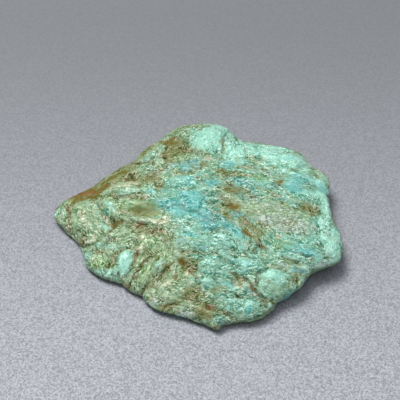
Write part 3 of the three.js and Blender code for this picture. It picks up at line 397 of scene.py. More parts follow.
        (5.4, -0.6, 1.2, 0.8, 0, 0.5), (-3.3, -12.5, 1.3, 1.0, 0, 0.75), (9.6, -4.6, 1.0, 0.5, -20, 0.8),
        (13.7, -9.0, 1.2, 0.7, 0, 0.7), (18.0, 9.2, 1.2, 0.8, 0, 0.8), (24.7, 1.0, 1.2, 0.7, 0, 0.8),
        (13.8, -20.9, 1.1, 0.6, -30, 0.7), (1.4, -24.4, 1.0, 0.5, 0, 0.3),
        (-7.2, -22.9, 1.0, 0.6, 0, 0.45), (-13.5, 1.1, 0.9, 0.6, 0, 0.5),
        (-19.4, 11.8, 2.8, 0.8, 35, 0.55), (-15.8, 13.4, 1.2, 0.6, 20, 0.6),
        (0.9, 13.9, 1.1, 0.7, 0, 0.5), (7.0, 6.6, 1.6, 0.8, -20, 0.5), (6.0, 11.6, 1.0, 0.6, 0, 0.4),
    ],
    "cream": [
        (-24.6, 0.6, 2.4, 2.0, -60, 0.5), (-22.3, -5.0, 1.6, 1.0, 30, 0.5),
        (-15.9, 9.0, 3.2, 0.8, 10, 0.7), (-9.5, -2.1, 2.8, 0.9, -22, 0.95),
        (-7.8, -4.6, 1.4, 0.7, -30, 0.6), (-11.8, 4.8, 1.4, 1.0, 0, 0.6), (-9.3, 11.0, 0.9, 0.6, 0, 0.4),
        (-8.4, 14.0, 0.9, 0.6, 0, 0.5), (-12.0, -8.8, 1.2, 0.9, 0, 0.7), (-12.2, -6.4, 1.2, 0.9, 0, 0.4),
        (-10.3, -19.9, 1.0, 0.7, 0, 0.6), (-1.4, -15.6, 1.4, 1.0, 0, 0.7),
        (-6.6, -18.3, 2.2, 1.2, 10, 0.55), (6.4, 4.2, 1.6, 0.8, -15, 0.6), (2.3, 15.5, 1.3, 0.8, 0, 0.7),
        (-2.5, 11.6, 2.8, 0.35, 0, 0.5), (-6.6, -2.2, 2.2, 0.7, -14, 0.5), (-1.7, -2.1, 1.8, 1.0, 0, 0.5),
        (17.5, -6.5, 2.4, 1.0, -12, 0.5), (8.6, -18.3, 1.4, 0.9, 0, 0.7),
        (-29.0, -1.0, 2.0, 1.0, -60, 0.5), (-21.2, -12.5, 1.4, 0.5, -30, 0.5),
        (-16.6, 0.7, 1.2, 0.8, 0, 0.6), (-19.8, 2.3, 1.0, 0.8, 0, 0.5), (-23.0, -10.0, 1.8, 1.4, 0, 0.4),
        (-7.4, -16.8, 1.6, 1.0, 40, 0.5), (14.0, 16.6, 2.4, 1.0, 0, 0.3),
        (-2.5, -9.4, 1.8, 0.8, -10, 0.35),
    ],
    "grey": [
        (20.0, -2.4, 5.6, 2.8, -10, 0.75), (14.6, -1.8, 2.0, 1.1, -40, 0.7),
        (16.0, 2.6, 3.0, 1.0, -15, 0.4), (-3.2, -7.3, 2.0, 1.2, 0, 0.4), (14.0, 11.9, 2.4, 1.0, 0, 0.6),
        (-10.0, -21.0, 1.6, 0.9, 0, 0.6), (-2.0, -24.2, 2.6, 0.8, -20, 0.7),
        (18.4, -12.3, 2.0, 0.8, -5, 0.7), (3.0, -16.6, 1.4, 0.6, 0, 0.5),
        (25.0, -11.4, 3.0, 0.6, 15, 0.6), (-16.6, 0.7, 1.2, 0.9, 0, 0.5), (-26.0, -4.0, 1.4, 1.0, 0, 0.4),
        (6.5, 17.0, 1.6, 1.0, 0, 0.3), (28.2, -9.6, 1.4, 1.0, 0, 0.6), (-7.0, 13.0, 1.8, 1.0, 0, 0.4),
        (17.0, 7.0, 3.0, 1.4, -15, 0.4), (-9.0, 12.6, 1.4, 1.0, 0, 0.4),
    ],
    "rust": [
        (-28.8, -1.4, 1.4, 0.5, -70, 0.7), (-28.3, 3.0, 1.8, 0.4, 105, 0.8),
        (-24.8, -5.0, 1.0, 0.5, 0, 0.7), (-25.6, -6.0, 1.0, 0.5, 0, 0.8),
        (-13.1, -9.6, 1.4, 0.5, 95, 0.8), (-13.6, -15.7, 0.9, 0.6, 50, 0.9),
        (11.7, -18.2, 0.8, 0.6, 0, 0.8), (2.7, -23.3, 1.0, 0.7, 0, 0.6), (2.5, -27.0, 1.2, 0.6, 0, 0.6),
        (-8.2, 12.2, 0.8, 0.5, 0, 0.8), (24.9, 0.9, 0.9, 0.5, 0, 0.5), (-20.9, 3.2, 0.5, 0.4, 0, 0.5),
        (-0.3, 9.4, 0.5, 0.3, 0, 0.8), (-12.7, -3.0, 1.1, 0.4, -20, 0.8),
        (-16.0, -17.0, 0.8, 0.5, 40, 0.8), (8.0, 2.4, 1.0, 0.5, -30, 0.45),
        (-25.0, 7.8, 2.4, 0.5, 16, 0.55), (-3.2, -12.4, 0.8, 0.6, 0, 0.5),
    ],
}
PATCH_FALL = 0.75

# Patches on the wall and the underside: size in mm, seed, and the noise at which they begin and are full.
HIDDEN_PATCHES = {
    "turquoise": (9, 79, -0.4, 0.6), "sky": (7, 81, 0.3, 0.9), "teal": (6, 83, 0.4, 1.0),
    "mint": (6, 85, 0.0, 1.2), "green": (8, 87, 0.0, 0.7), "olive": (7, 89, 0.0, 1.3),
    "ochre": (5, 91, 0.5, 1.6), "cream": (5, 93, 0.2, 1.7), "grey": (4, 95, 0.0, 1.2),
    "rust": (3, 97, 0.7, 1.4),
}

# The mesh attributes that carry the patches to the material, three colours in each.
TINTS = {
    "tint_cool": ("sky", "teal", "mint"),
    "tint_warm": ("green", "olive", "ochre"),
    "tint_dusty": ("cream", "grey", "rust"),
}

# The patches in the order in which they are laid: colour, how ragged its edge is, how well it covers.
LAYERS = [
    ("green", 0.6, 0.75), ("mint", 0.6, 0.85), ("sky", 0.6, 0.8), ("teal", 0.6, 0.7),
    ("grey", 0.8, 0.7), ("olive", 0.8, 0.8), ("cream", 1.2, 0.65), ("ochre", 0.9, 0.9),
]
# Rust is laid last, with a finer edge.
RUST_COVER = 0.75

# Overlapping scales: the cell that each has, its half-length and half-width in mm, and the seed.
BIG_SCALES = (2.5, 2.1, 0.95, 11)
SMALL_SCALES = (1.15, 1.0, 0.42, 12)

# How far along the grain a random field is averaged, in mm, for streaks, fine streaks and seams.
STREAK_REACH = 2.4
FINE_STREAK_REACH = 0.8
SEAM_REACH = 3.0
FIELD_SEED = 41

# Heights of the fine relief in mm, and the share of it that shows.
BIG_HEIGHT = 0.15
SMALL_HEIGHT = 0.09
SEAM_HEIGHT = 0.05
STREAK_HEIGHT = 0.035
GRIT_HEIGHT = 0.05
WEB_DEPTH = 0.07
FINE_SHARE = 0.6

# The web of cracks shows where two big or two small scales are this close in height, or where the
# seams' field is this near to 0.
BIG_GAP = 0.08
SMALL_GAP = 0.06
SEAM_GAP = 0.16

# How far the height is softened, in mm, for crests, for the ground that they stand out from, and for
# the ground that edges stand out from.
CREST_SIZE = 0.3
VALLEY_SIZE = 2.2
EDGE_SIZE = 0.7

# Noises on the plan: size in mm and seed.
NOISES = {
    "patchy": (4.5, 21), "grit": (0.7, 22), "web breaks": (1.6, 23), "small web breaks": (2.2, 24),
    "seam breaks": (1.8, 25), "small seam breaks": (0.8, 26), "crack sway x": (0.6, 31),
    "crack sway y": (0.6, 32), "torn": (1.7, 51), "finely torn": (0.7, 52), "patch sway x": (2.3, 53),
    "patch sway y": (2.3, 54),
}
CRACK_SWAY = 0.16
PATCH_SWAY = 0.7
PATCH_DRAW = 0.35
PATCH_NOISE_SIZE = 1.1
PATCH_NOISE_SEED = 60
HIDDEN_GRAIN = (0.8, 99)

# The sizes of what the stone's material shows, then the linear colour that a light mark adds and a
# dark one takes away, and how far down the dark ones may go. The light marks are pale flecks and
# painted glints, highlights and sheen; the dark ones are dark streaks, seams and painted shade.
MOTTLE_SIZE = 1.1 * MM
SPECK_SIZE = 0.45 * MM
CALM_SIZE = 2.6 * MM
WARP_SIZE = 0.9 * MM
WARP_REACH = 1.1 * MM
PLATE_WIDTH = 0.95 * MM
FINE_PLATE_WIDTH = 0.42 * MM
DASH_WIDTH = 0.21 * MM
THREAD_WIDTH = 0.62 * MM
BUMP_HEIGHT = 0.09 * MM
GLINT = (0.21, 0.19, 0.19)
DARKEST = -0.55

# The ground: half its width in metres, its colours far off and near, darker far off and lighter near
# as a painted falloff of light, how far towards the camera it turns from one to the other, and the
# sizes of its grain and flecks.
GROUND_HALF = 1.2
GROUND_FAR_PAINTED_DIM = (0.190, 0.200, 0.216, 1)
GROUND_NEAR_PAINTED_LIT = (0.375, 0.387, 0.432, 1)
GROUND_PAINTED_FALLOFF = (-75 * MM, 55 * MM)
GROUND_GRAIN = 0.5 * MM
GROUND_FLECK = 0.28 * MM

# Soft studio light: name, place, size, power and colour. The key is at the upper left and a little
# behind the stone, and the weaker one is wide, above and in front of it.
LIGHTS = [
    ("key", (-0.22, 0.18, 0.74), 0.38, 6.3, (1.0, 0.99, 0.97)),
    ("top", (0.08, -0.20, 0.93), 0.8, 2.4, (0.97, 0.99, 1.0)),
]
SKY_COLOUR = (0.93, 0.95, 1.0, 1)
SKY_STRENGTH = 0.16


def blend(a, b, t):
    """From a to b as t goes from 0 to 1, in a straight line."""
    return a + (b - a) * t


def fade(value, low, high):
    """Rises smoothly from 0 at low to 1 at high, as t² (3 - 2t)."""
    t = np.clip((value - low) / (high - low), 0, 1)
    return t * t * (3 - 2 * t)


def read_plan(field, x, y):
    """Reads a plan field between its grid points: the four around a place, weighted by nearness."""
    gx = np.clip((x - PLAN_LOW[0]) / PLAN_STEP, 0, field.shape[1] - 1.001)
    gy = np.clip((y - PLAN_LOW[1]) / PLAN_STEP, 0, field.shape[0] - 1.001)
    i, j = gx.astype(int), gy.astype(int)
    u, v = gx - i, gy - j
    near = blend(field[j, i], field[j, i + 1], u)
    far = blend(field[j + 1, i], field[j + 1, i + 1], u)
    return blend(near, far, v)


def soften(field, radius):
    """A plan field averaged over a square of this half-width in mm, three times over."""
    cells = max(1, round(radius / PLAN_STEP / 2))
    for axis in (0, 1, 0, 1, 0, 1):
        padded = np.pad(field, [(cells + 1, cells) if k == axis else (0, 0) for k in (0, 1)], "edge")
        total = np.cumsum(padded, axis=axis)
        after = np.take(total, range(2 * cells + 1, total.shape[axis]), axis=axis)
        before = np.take(total, range(0, total.shape[axis] - 2 * cells - 1), axis=axis)
        field = (after - before) / (2 * cells + 1)
    return field


def cloud(points, size, seed):
    """Smooth noise between -1 and 1: random values on a lattice of this cell size, blended
    between the eight lattice corners round each point with the smooth rise of fade."""
    table = np.random.default_rng(seed).uniform(-1, 1, (32, 32, 32))
    places = points / size + 1000
    cell = np.floor(places).astype(int)
    part = places - cell
    part = part * part * (3 - 2 * part)
    value = 0
    for corner in np.ndindex(2, 2, 2):
        weight = np.prod(np.where(corner, part, 1 - part), axis=-1)
        value = value + weight * table[tuple(((cell + corner) % 32).T)].T
    return value


def plan_cloud(size, seed):
    """The noise of cloud on the plan grid, at height 0."""
    points = np.stack([PLAN_X.ravel(), PLAN_Y.ravel(), np.zeros(PLAN_X.size)], axis=1)
    return cloud(points, size, seed).reshape(PLAN_X.shape)


def plan_noise(name):
    """One of the NOISES on the plan grid."""
    return plan_cloud(*NOISES[name])


def wander(x, y):
    """Bends the plan by small sine waves, so that no lobe keeps the outline of an exact ellipse."""
    bent_x = x + sum(size * np.sin(kx * x + ky * y + start) for size, kx, ky, start in BEND_X)
    bent_y = y + sum(size * np.sin(kx * x + ky * y + start) for size, kx, ky, start in BEND_Y)
    return bent_x, bent_y


def reach2(x, y, form):
    """The square of how far (x, y) is from a form's centre, where 1 is its ellipse."""
    c, s = math.cos(math.radians(form[4])), math.sin(math.radians(form[4]))
    dx, dy = x - form[0], y - form[1]
    return ((c * dx + s * dy) / form[2]) ** 2 + ((c * dy - s * dx) / form[3]) ** 2


def soft_max(a, b):
    """The larger of two heights, with the crease between them rounded: half the sum of a, b and
    √((a - b)² + MEETING_SOFTNESS²)."""
    return (a + b + np.hypot(a - b, MEETING_SOFTNESS)) / 2


def ground(x, y):
    """Long shallow waves that lean with the stone's grain, for the ground between the lobes: a long
    sine along the grain that sways across it, and a shorter one, both lowered by GROUND_DROP."""
    along = GRAIN_ALONG[0] * x + GRAIN_ALONG[1] * y
    across = GRAIN_ACROSS[0] * x + GRAIN_ACROSS[1] * y
    long_wave = GRAIN_LONG * np.sin(along + GRAIN_BEND * np.sin(across))
    return long_wave + GRAIN_SHORT * np.sin(1.3 * across + 0.6 * along + 2) - GROUND_DROP


def lobes(x, y, forms, floor):
    """Each lobe is a paraboloid, its height times (1 - reach²). The highest one shows."""
    height = floor
    for form in forms:
        height = soft_max(height, form[5] * (1 - reach2(x, y, form)))
    return height


def hollows(x, y):
    """The depths of the hollows added up, each falling off as a bell curve of its reach."""
    return sum(form[5] * np.exp(-HOLLOW_FALL * reach2(x, y, form)) for form in HOLLOWS)


def path_distance(x, y, path):
    """The distance from (x, y) to the nearest stretch of a path."""
    least = np.full(x.shape, np.inf)
    for (ax, ay), (bx, by) in zip(path, path[1:]):
        vx, vy = bx - ax, by - ay
        t = np.clip(((x - ax) * vx + (y - ay) * vy) / (vx * vx + vy * vy), 0, 1)
        least = np.minimum(least, np.hypot(x - ax - t * vx, y - ay - t * vy))
    return least


def ring_path(ellipse, turns):
    """Points along an ellipse between two turns from its long axis: its half-axes times the cosine
    and sine of the turn, turned and moved to its place."""
    x, y, long, short, turn = ellipse
    c, s = math.cos(math.radians(turn)), math.sin(math.radians(turn))
    t = np.radians(np.linspace(*turns, RING_POINTS))
    return list(zip(x + c * long * np.cos(t) - s * short * np.sin(t),
                    y + s * long * np.cos(t) + c * short * np.sin(t)))


def cracks(x, y):
    """The deepest crack at (x, y). Each is its depth times a bell curve of the distance to it."""
    deepest = np.zeros(x.shape)
    rings = [(depth, width, ring_path(*ring)) for depth, width, *ring in CRACK_RINGS]
    for depth, width, path in CRACKS + rings:
        section = np.exp(-((path_distance(x, y, path) / (CRACK_WIDTH_SHARE * width)) ** 2))
        deepest = np.maximum(deepest, depth * section)
    return CRACK_DEPTH_SHARE * deepest


def grain_turn(relief):
    """The direction of the grain on the plan grid, in radians. Directions at the GRAIN sites are
    averaged as doubled angles, weighted by a bell curve, and lean on steep ground towards the
    line of equal height, so that the grain wraps round the lobes."""
    c2, s2 = np.zeros(PLAN_X.shape), np.zeros(PLAN_X.shape)
    for x, y, turn in GRAIN:
        weight = np.exp(-((PLAN_X - x) ** 2 + (PLAN_Y - y) ** 2) / GRAIN_REACH**2) + 1e-6
        c2 += weight * math.cos(2 * math.radians(turn))
        s2 += weight * math.sin(2 * math.radians(turn))
    length = np.hypot(c2, s2) + 1e-9
    slope_y, slope_x = np.gradient(soften(relief, 0.8), PLAN_STEP)
    steep = np.hypot(slope_x, slope_y) + 1e-9
    level = np.arctan2(slope_x, -slope_y)
    lean = 0.8 * fade(steep, 0.15, 0.9)
    c2 = c2 / length + lean * np.cos(2 * level)
    s2 = s2 / length + lean * np.sin(2 * level)
    return 0.5 * np.arctan2(soften(s2, 0.6), soften(c2, 0.6))


def comb(field, turn, reach):
    """Averages a field along the grain, up to reach mm either way, so that it turns to streaks."""
    total = field.copy()
    steps = round(reach / PLAN_STEP)
    for way in (1, -1):
        x, y = PLAN_X.copy(), PLAN_Y.copy()
        was_x, was_y = way * np.cos(turn), way * np.sin(turn)
        for _ in range(steps):
            i = np.clip(np.rint((x - PLAN_LOW[0]) / PLAN_STEP).astype(int), 0, field.shape[1] - 1)
            j = np.clip(np.rint((y - PLAN_LOW[1]) / PLAN_STEP).astype(int), 0, field.shape[0] - 1)
            go_x, go_y = np.cos(turn[j, i]), np.sin(turn[j, i])
            same = np.where(go_x * was_x + go_y * was_y < 0, -1, 1)
            was_x, was_y = same * go_x, same * go_y
            x, y = x + PLAN_STEP * was_x, y + PLAN_STEP * was_y
            total += read_plan(field, x, y)
    return total / (2 * steps + 1)


def even_out(field):
    """A field moved and scaled to mean 0 and deviation 1."""
    return (field - field.mean()) / field.std()


def scales(turn, cell, long, short, seed):
    """Overlapping scales: one lump in each cell of a square grid, moved about at random, turned
    along the grain and tilted across it. The height of a lump is its size times (1 - reach²),
    plus its tilt. Returns the highest lump at each place, and how far above the next it is."""
    rng = np.random.default_rng(seed)
    spans = zip(PLAN_LOW[::-1], PLAN_HIGH[::-1])
    shape = [math.ceil((high - low) / cell) + 2 for low, high in spans]
    shift = rng.uniform(-0.42, 0.42, (2, *shape))
    size = rng.uniform(0.45, 1.0, shape)
    tilt = rng.uniform(-0.2, 0.55, shape)
    swing = rng.normal(0, 0.22, shape)
    home_j = np.floor((PLAN_Y - PLAN_LOW[1]) / cell).astype(int) + 1
    home_i = np.floor((PLAN_X - PLAN_LOW[0]) / cell).astype(int) + 1
    first, second = np.full(PLAN_X.shape, -9.0), np.full(PLAN_X.shape, -9.0)
    for dj in (-1, 0, 1):
        for di in (-1, 0, 1):
            j = np.clip(home_j + dj, 0, shape[0] - 1)
            i = np.clip(home_i + di, 0, shape[1] - 1)
            x = PLAN_LOW[0] + (i - 0.5 + shift[0][j, i]) * cell
            y = PLAN_LOW[1] + (j - 0.5 + shift[1][j, i]) * cell
            way = read_plan(turn, x, y) + swing[j, i]
            dx, dy = PLAN_X - x, PLAN_Y - y
            along = (np.cos(way) * dx + np.sin(way) * dy) / long
            across = (np.cos(way) * dy - np.sin(way) * dx) / short
            lump = size[j, i] * (1 - along**2 - across**2) - tilt[j, i] * across
            second = np.maximum(second, np.minimum(first, lump))
            first = np.maximum(first, lump)
    return np.maximum(first, -0.3), first - np.maximum(second, -0.3)


def stone_fields():
    """Everything that the top's plan says about the stone, each as an array on the plan grid."""
    bent_x, bent_y = wander(PLAN_X, PLAN_Y)
    relief = lobes(bent_x, bent_y, LOBES, ground(PLAN_X, PLAN_Y)) - hollows(bent_x, bent_y)
    relief = RELIEF_SHARE * relief
    turn = grain_turn(relief)
    smooth = np.ones(PLAN_X.shape)
    for form in SMOOTH:
        smooth = smooth * (1 - form[5] * np.exp(-SMOOTH_FALL * reach2(PLAN_X, PLAN_Y, form) ** 2))

    rng = np.random.default_rng(FIELD_SEED)
    streaks = even_out(comb(soften(rng.normal(0, 1, PLAN_X.shape), 0.2), turn, STREAK_REACH))
    fine_streaks = even_out(comb(rng.normal(0, 1, PLAN_X.shape), turn, FINE_STREAK_REACH))
    seams = even_out(comb(soften(rng.normal(0, 1, PLAN_X.shape), 0.45), turn, SEAM_REACH))
    big, big_gap = scales(turn, *BIG_SCALES)
    small, small_gap = scales(turn, *SMALL_SCALES)
    patchy = plan_noise("patchy")
    fine = BIG_HEIGHT * big + SMALL_HEIGHT * small * (1 + 0.4 * patchy) + SEAM_HEIGHT * np.tanh(seams / 0.3)
    fine = fine + STREAK_HEIGHT * streaks + STREAK_HEIGHT * fine_streaks + GRIT_HEIGHT * plan_noise("grit")

    web = np.exp(-((big_gap / BIG_GAP) ** 2)) * fade(patchy + 0.4 * plan_noise("web breaks"), -0.2, 0.6)
    broken = fade(plan_noise("small web breaks"), 0.0, 0.5)
    web = np.maximum(web, 0.8 * np.exp(-((small_gap / SMALL_GAP) ** 2)) * broken)
    broken = fade(plan_noise("seam breaks") + 0.4 * plan_noise("small seam breaks"), -0.1, 0.4)
    web = np.maximum(web, 0.9 * np.exp(-((seams / SEAM_GAP) ** 2)) * broken)

    sway_x = CRACK_SWAY * plan_noise("crack sway x")
    sway_y = CRACK_SWAY * plan_noise("crack sway y")
    cut = cracks(PLAN_X + sway_x, PLAN_Y + sway_y)
    fine = smooth * (FINE_SHARE * fine - WEB_DEPTH * web)
    height = relief + fine - cut
    return {
        "relief": relief,
        "fine": fine,
        "cut": cut,
        "turn": turn,
        "smooth": smooth,
        "streaks": 0.6 * streaks + 0.6 * fine_streaks,
        "web": web * smooth,
        "crest": even_out(soften(height, CREST_SIZE) - soften(height, VALLEY_SIZE)),
        "edge": even_out(height - soften(height, EDGE_SIZE)),
    }


def colour_weights(fields):
    """How much of each colour there is on the plan grid. A patch falls off with its reach, and its
    edge is torn by noise and drawn out along the grain."""
    turn = fields["turn"]
    torn = 0.9 * plan_noise("torn") + 0.5 * plan_noise("finely torn")
    shift = 0.5 * fields["streaks"]
    x = PLAN_X + PATCH_SWAY * plan_noise("patch sway x") - PATCH_DRAW * np.sin(turn) * shift
    y = PLAN_Y + PATCH_SWAY * plan_noise("patch sway y") + PATCH_DRAW * np.cos(turn) * shift
    weights = {}
    for number, (name, patches) in enumerate(PATCHES.items()):
        bare = np.ones(PLAN_X.shape)
        for form in patches:
            bare = bare * (1 - form[5] * np.exp(-PATCH_FALL * reach2(x, y, form)))
        noise = plan_cloud(PATCH_NOISE_SIZE, PATCH_NOISE_SEED + number)
        grain = 0.16 * torn + 0.10 * fields["streaks"] + 0.12 * noise
        weights[name] = fade(1 - bare + grain, 0.08, 0.85)
    return weights


def rim_table(smoothing):
    """The rim by direction, read off a smooth closed curve through RIM: the mean radius and height
    of the curve's points about each direction, weighted by a bell curve. The curve is a
    Catmull-Rom spline whose knots lie the square root of the distance apart."""
    points = np.array(RIM)
    p0, p1, p2, p3 = (np.roll(points, k, axis=0) for k in (1, 0, -1, -2))
    d0, d1, d2 = (np.linalg.norm(b - a, axis=1, keepdims=True) ** 0.5
                  for a, b in ((p0, p1), (p1, p2), (p2, p3)))
    start = d1 * ((p1 - p0) / d0 - (p2 - p0) / (d0 + d1) + (p2 - p1) / d1)
    end = d1 * ((p2 - p1) / d1 - (p3 - p1) / (d1 + d2) + (p3 - p2) / d2)
    t = (np.arange(RIM_STEPS) / RIM_STEPS)[:, None, None]
    curve = p1 + start * t + (3 * (p2 - p1) - 2 * start - end) * t**2
    curve = (curve + (2 * (p1 - p2) + start + end) * t**3).reshape(-1, 3)
    directions = np.arange(RIM_DIRECTIONS) / RIM_DIRECTIONS * 2 * np.pi - np.pi
    off = np.arctan2(curve[:, 1], curve[:, 0]) - directions[:, None]
    weight = np.exp(-((np.arctan2(np.sin(off), np.cos(off)) / smoothing) ** 2))
    weight = weight / weight.sum(axis=1, keepdims=True)
    return directions, weight @ np.hypot(curve[:, 0], curve[:, 1]), weight @ curve[:, 2]


def square_to_disc(u, v):
    """The unit square onto the unit disc: x = u √(1 - v²/2), y = v √(1 - u²/2)."""
    return u * np.sqrt(1 - v * v / 2), v * np.sqrt(1 - u * u / 2)


class Slab:
    """The plain slab. A point stands at a share of the way from the middle to the rim, in the
    direction (dx, dy), on the top, on the underside, or on the rim line between them."""

    def __init__(self, relief):
        self.outer = rim_table(RIM_SMOOTHING)
        self.inner = rim_table(INNER_SMOOTHING)
        self.relief = relief

    def point(self, dx, dy, share, on_top):
        """On the top, z = rim + (EDGE_RISE + relief) √(1 - share^TOP_SHOULDER) + SWELL_RISE
        (1 - share²)^SWELL_POWER. Underneath, z = rim - (rim + BOWL_DEPTH) √(1 - share^UNDER_SHOULDER)."""
        angle = np.arctan2(dy, dx)
        directions, radius, height = self.outer
        rim = np.interp(angle, directions, height, period=2 * np.pi)
        far = np.interp(angle, directions, radius, period=2 * np.pi)
        near = np.interp(angle, directions, self.inner[1], period=2 * np.pi)
        radius = share * blend(near, far, share**INNER_POWER)
        x, y = radius * np.cos(angle), radius * np.sin(angle)
        if not on_top:
            return np.stack([x, y, rim - (rim + BOWL_DEPTH) * np.sqrt(1 - share**UNDER_SHOULDER)], axis=-1)
        rise = EDGE_RISE + read_plan(self.relief, x, y)
        z = rim + rise * np.sqrt(1 - share**TOP_SHOULDER) + SWELL_RISE * (1 - share**2) ** SWELL_POWER
        return np.stack([x, y, z], axis=-1)


def square_ring(n):
    """The steps around a square of n cells, counter-clockwise from its lower left corner."""
    k = np.arange(n)
    i = np.concatenate([k, np.full(n, n), n - k, np.zeros(n, int)])
    j = np.concatenate([np.zeros(n, int), k, np.full(n, n), n - k])
    return i, j


def face_grid(slab, n, share, on_top):
    """A square grid of points for the top or the underside, and its triangles. Each cell is split
    along its shorter diagonal."""
    j, i = np.mgrid[0:n + 1, 0:n + 1]
    dx, dy = square_to_disc(2 * i / n - 1, 2 * j / n - 1)
    points = slab.point(dx, dy, share * np.hypot(dx, dy), on_top).reshape(-1, 3)
    corner = (j * (n + 1) + i)[:-1, :-1].ravel()
    a, b, c, d = corner, corner + 1, corner + n + 2, corner + n + 1
    diagonal = np.linalg.norm(points[a] - points[c], axis=1) < np.linalg.norm(points[b] - points[d], axis=1)
    one = np.where(diagonal[:, None], np.stack([a, b, c], 1), np.stack([a, b, d], 1))
    two = np.where(diagonal[:, None], np.stack([a, c, d], 1), np.stack([b, c, d], 1))
    faces = np.concatenate([one, two])
    return points, faces if on_top else faces[:, ::-1]


def slab_mesh(slab):
    """The plain slab as points and triangles: the top, the wall in rows of equal turn round the
    rim line, and the underside, whose grid has half as many cells."""
    n = CELLS_ACROSS
    points, faces = face_grid(slab, n, WALL_FROM_TOP, True)
    points, faces = [points], [faces]
    i, j = square_ring(n)
    above = j * (n + 1) + i
    dx, dy = square_to_disc(2 * i / n - 1, 2 * j / n - 1)
    turn_top = math.acos(WALL_FROM_TOP ** (TOP_SHOULDER / 2))
    turn_under = math.acos(WALL_FROM_UNDER ** (UNDER_SHOULDER / 2))
    count = len(points[0])
    for row in range(1, WALL_ROWS + 1):
        turn = blend(turn_top, -turn_under, row / (WALL_ROWS + 1))
        power = TOP_SHOULDER if turn > 0 else UNDER_SHOULDER
        share = np.full(len(dx), math.cos(turn) ** (2 / power))
        points.append(slab.point(dx, dy, share, turn > 0))
        below = count + np.arange(4 * n)
        nxt, above_next = np.roll(below, -1), np.roll(above, -1)
        faces += [np.stack([below, nxt, above_next], 1), np.stack([below, above_next, above], 1)]
        above, count = below, count + 4 * n
    under, under_faces = face_grid(slab, n // 2, WALL_FROM_UNDER, False)
    i, j = square_ring(n // 2)
    below = count + j * (n // 2 + 1) + i
    nxt = np.roll(below, -1)
    a, b, c = above[0::2], above[1::2], np.roll(above, -2)[0::2]
    faces += [np.stack([below, nxt, b], 1), np.stack([below, b, a], 1), np.stack([nxt, c, b], 1)]
    return np.concatenate(points + [under]), np.concatenate(faces + [under_faces + count])


def vertex_normals(points, faces):
    """The mean direction of the faces round each vertex, weighted by their area."""
    a, b, c = (points[faces[:, k]] for k in range(3))
    across = np.cross(b - a, c - a)
    total = np.stack([
        sum(np.bincount(faces[:, k], across[:, axis], len(points)) for k in range(3))
        for axis in range(3)
    ], axis=1)
    return total / np.linalg.norm(total, axis=1, keepdims=True)


# The underside: rounded knobs on a spiral, how oval they are, and the least and most of how far out
# they lie, of their half-length and of their height.
UNDER_KNOBS = 46
UNDER_OVAL = 0.72
KNOB_PLACES = (13, 30)
KNOB_SIZES = (1.8, 4.2)
KNOB_HEIGHTS = (0.3, 1.0)
GOLDEN_TURN = math.pi * (3 - math.sqrt(5))

# The noise of the wall and the underside: height, size in mm and seed, and how far it is sunk.
LUMPS = [(0.22, 2.6, 71), (0.16, 1.2, 72), (0.10, 0.6, 73)]
LUMPS_SUNK = 0.12


def under_knobs():
    """Rounded knobs under the stone, on a spiral that turns by the golden angle."""
    forms = []
    for k in range(UNDER_KNOBS):
        t = k / (UNDER_KNOBS - 1)
        radius = blend(*KNOB_PLACES, math.sqrt(t))
        mix = 0.5 + 0.5 * math.sin(5.3 * k)
        size = blend(*KNOB_SIZES, mix)
        place = (radius * math.cos(k * GOLDEN_TURN), radius * math.sin(k * GOLDEN_TURN))
        forms.append((*place, size, size * UNDER_OVAL, 47 * k, blend(*KNOB_HEIGHTS, mix)))
    return forms


def thinned(points):
    """Lowers the stone towards its front left and draws it in there, as the model's source does."""
    way = THIN_WAY[0] * points[:, 0] + THIN_WAY[1] * points[:, 1]
    loss = THIN_MOST * fade(way, *THIN_REACH)
    height = points[:, 2]
    return np.stack([
        points[:, 0], points[:, 1] + THIN_DRAW * loss, height - loss * np.minimum(1, height / RIM_HEIGHT),
    ], axis=1)


def stone_shape(fields):
    """The finished stone in raw mm: the slab, with fine relief and cracks along its normals on
    the top, and knobs and lumps of noise on the wall and underneath, then thinned. Returns points,
    triangles, the points before the thinning, and how much each point belongs to the top."""
    points, faces = slab_mesh(Slab(fields["relief"]))
    normals = vertex_normals(points, faces)
    x, y = points[:, 0], points[:, 1]
    top = fade(normals[:, 2], 0.05, 0.6)
    under = fade(-normals[:, 2], 0.2, 0.7)
    out = top * read_plan(fields["fine"], x, y) - (1 - under) * read_plan(fields["cut"], x, y)
    lumps = sum(height * cloud(points, size, seed) for height, size, seed in LUMPS)
    bent_x, bent_y = wander(x, y)
    knobs = lobes(bent_x, bent_y, under_knobs(), np.zeros(len(x)))
    out = out + (1 - top) * (lumps - LUMPS_SUNK) + under * 0.8 * knobs
    points = points + normals * out[:, None]
    points[:, 2] = np.maximum(points[:, 2], 0)
    return thinned(points), faces, points, top


def fit_to_box(points, low, high):
    """Moves and scales x and y to the box, keeps heights, and gives metres."""
    small, large = points.min(axis=0), points.max(axis=0)
    fitted = points * MM
    for axis in (0, 1):
        share = (points[:, axis] - small[axis]) / (large[axis] - small[axis])
        fitted[:, axis] = blend(low[axis], high[axis], share)
    fitted[:, 2] = np.minimum(fitted[:, 2], high[2] * TOP_SPARE)
    return fitted


def make_mesh(name, points, faces):
    """A smooth-shaded mesh of these points and triangles."""
    mesh = bpy.data.meshes.new(name)
    mesh.vertices.add(len(points))
    mesh.vertices.foreach_set("co", points.astype(np.float32).ravel())
    mesh.loops.add(faces.size)
    mesh.loops.foreach_set("vertex_index", faces.astype(np.int32).ravel())
    mesh.polygons.add(len(faces))
    mesh.polygons.foreach_set("loop_start", np.arange(0, faces.size, 3, dtype=np.int32))
    mesh.polygons.foreach_set("use_smooth", np.ones(len(faces), bool))
    mesh.update(calc_edges=True)
    mesh.validate()
    return mesh


def add_attribute(mesh, name, columns):
    """Three numbers for each vertex, kept under one name."""
    attribute = mesh.attributes.new(name, "FLOAT_VECTOR", "POINT")
    attribute.data.foreach_set("vector", np.stack(columns, axis=1).astype(np.float32).ravel())


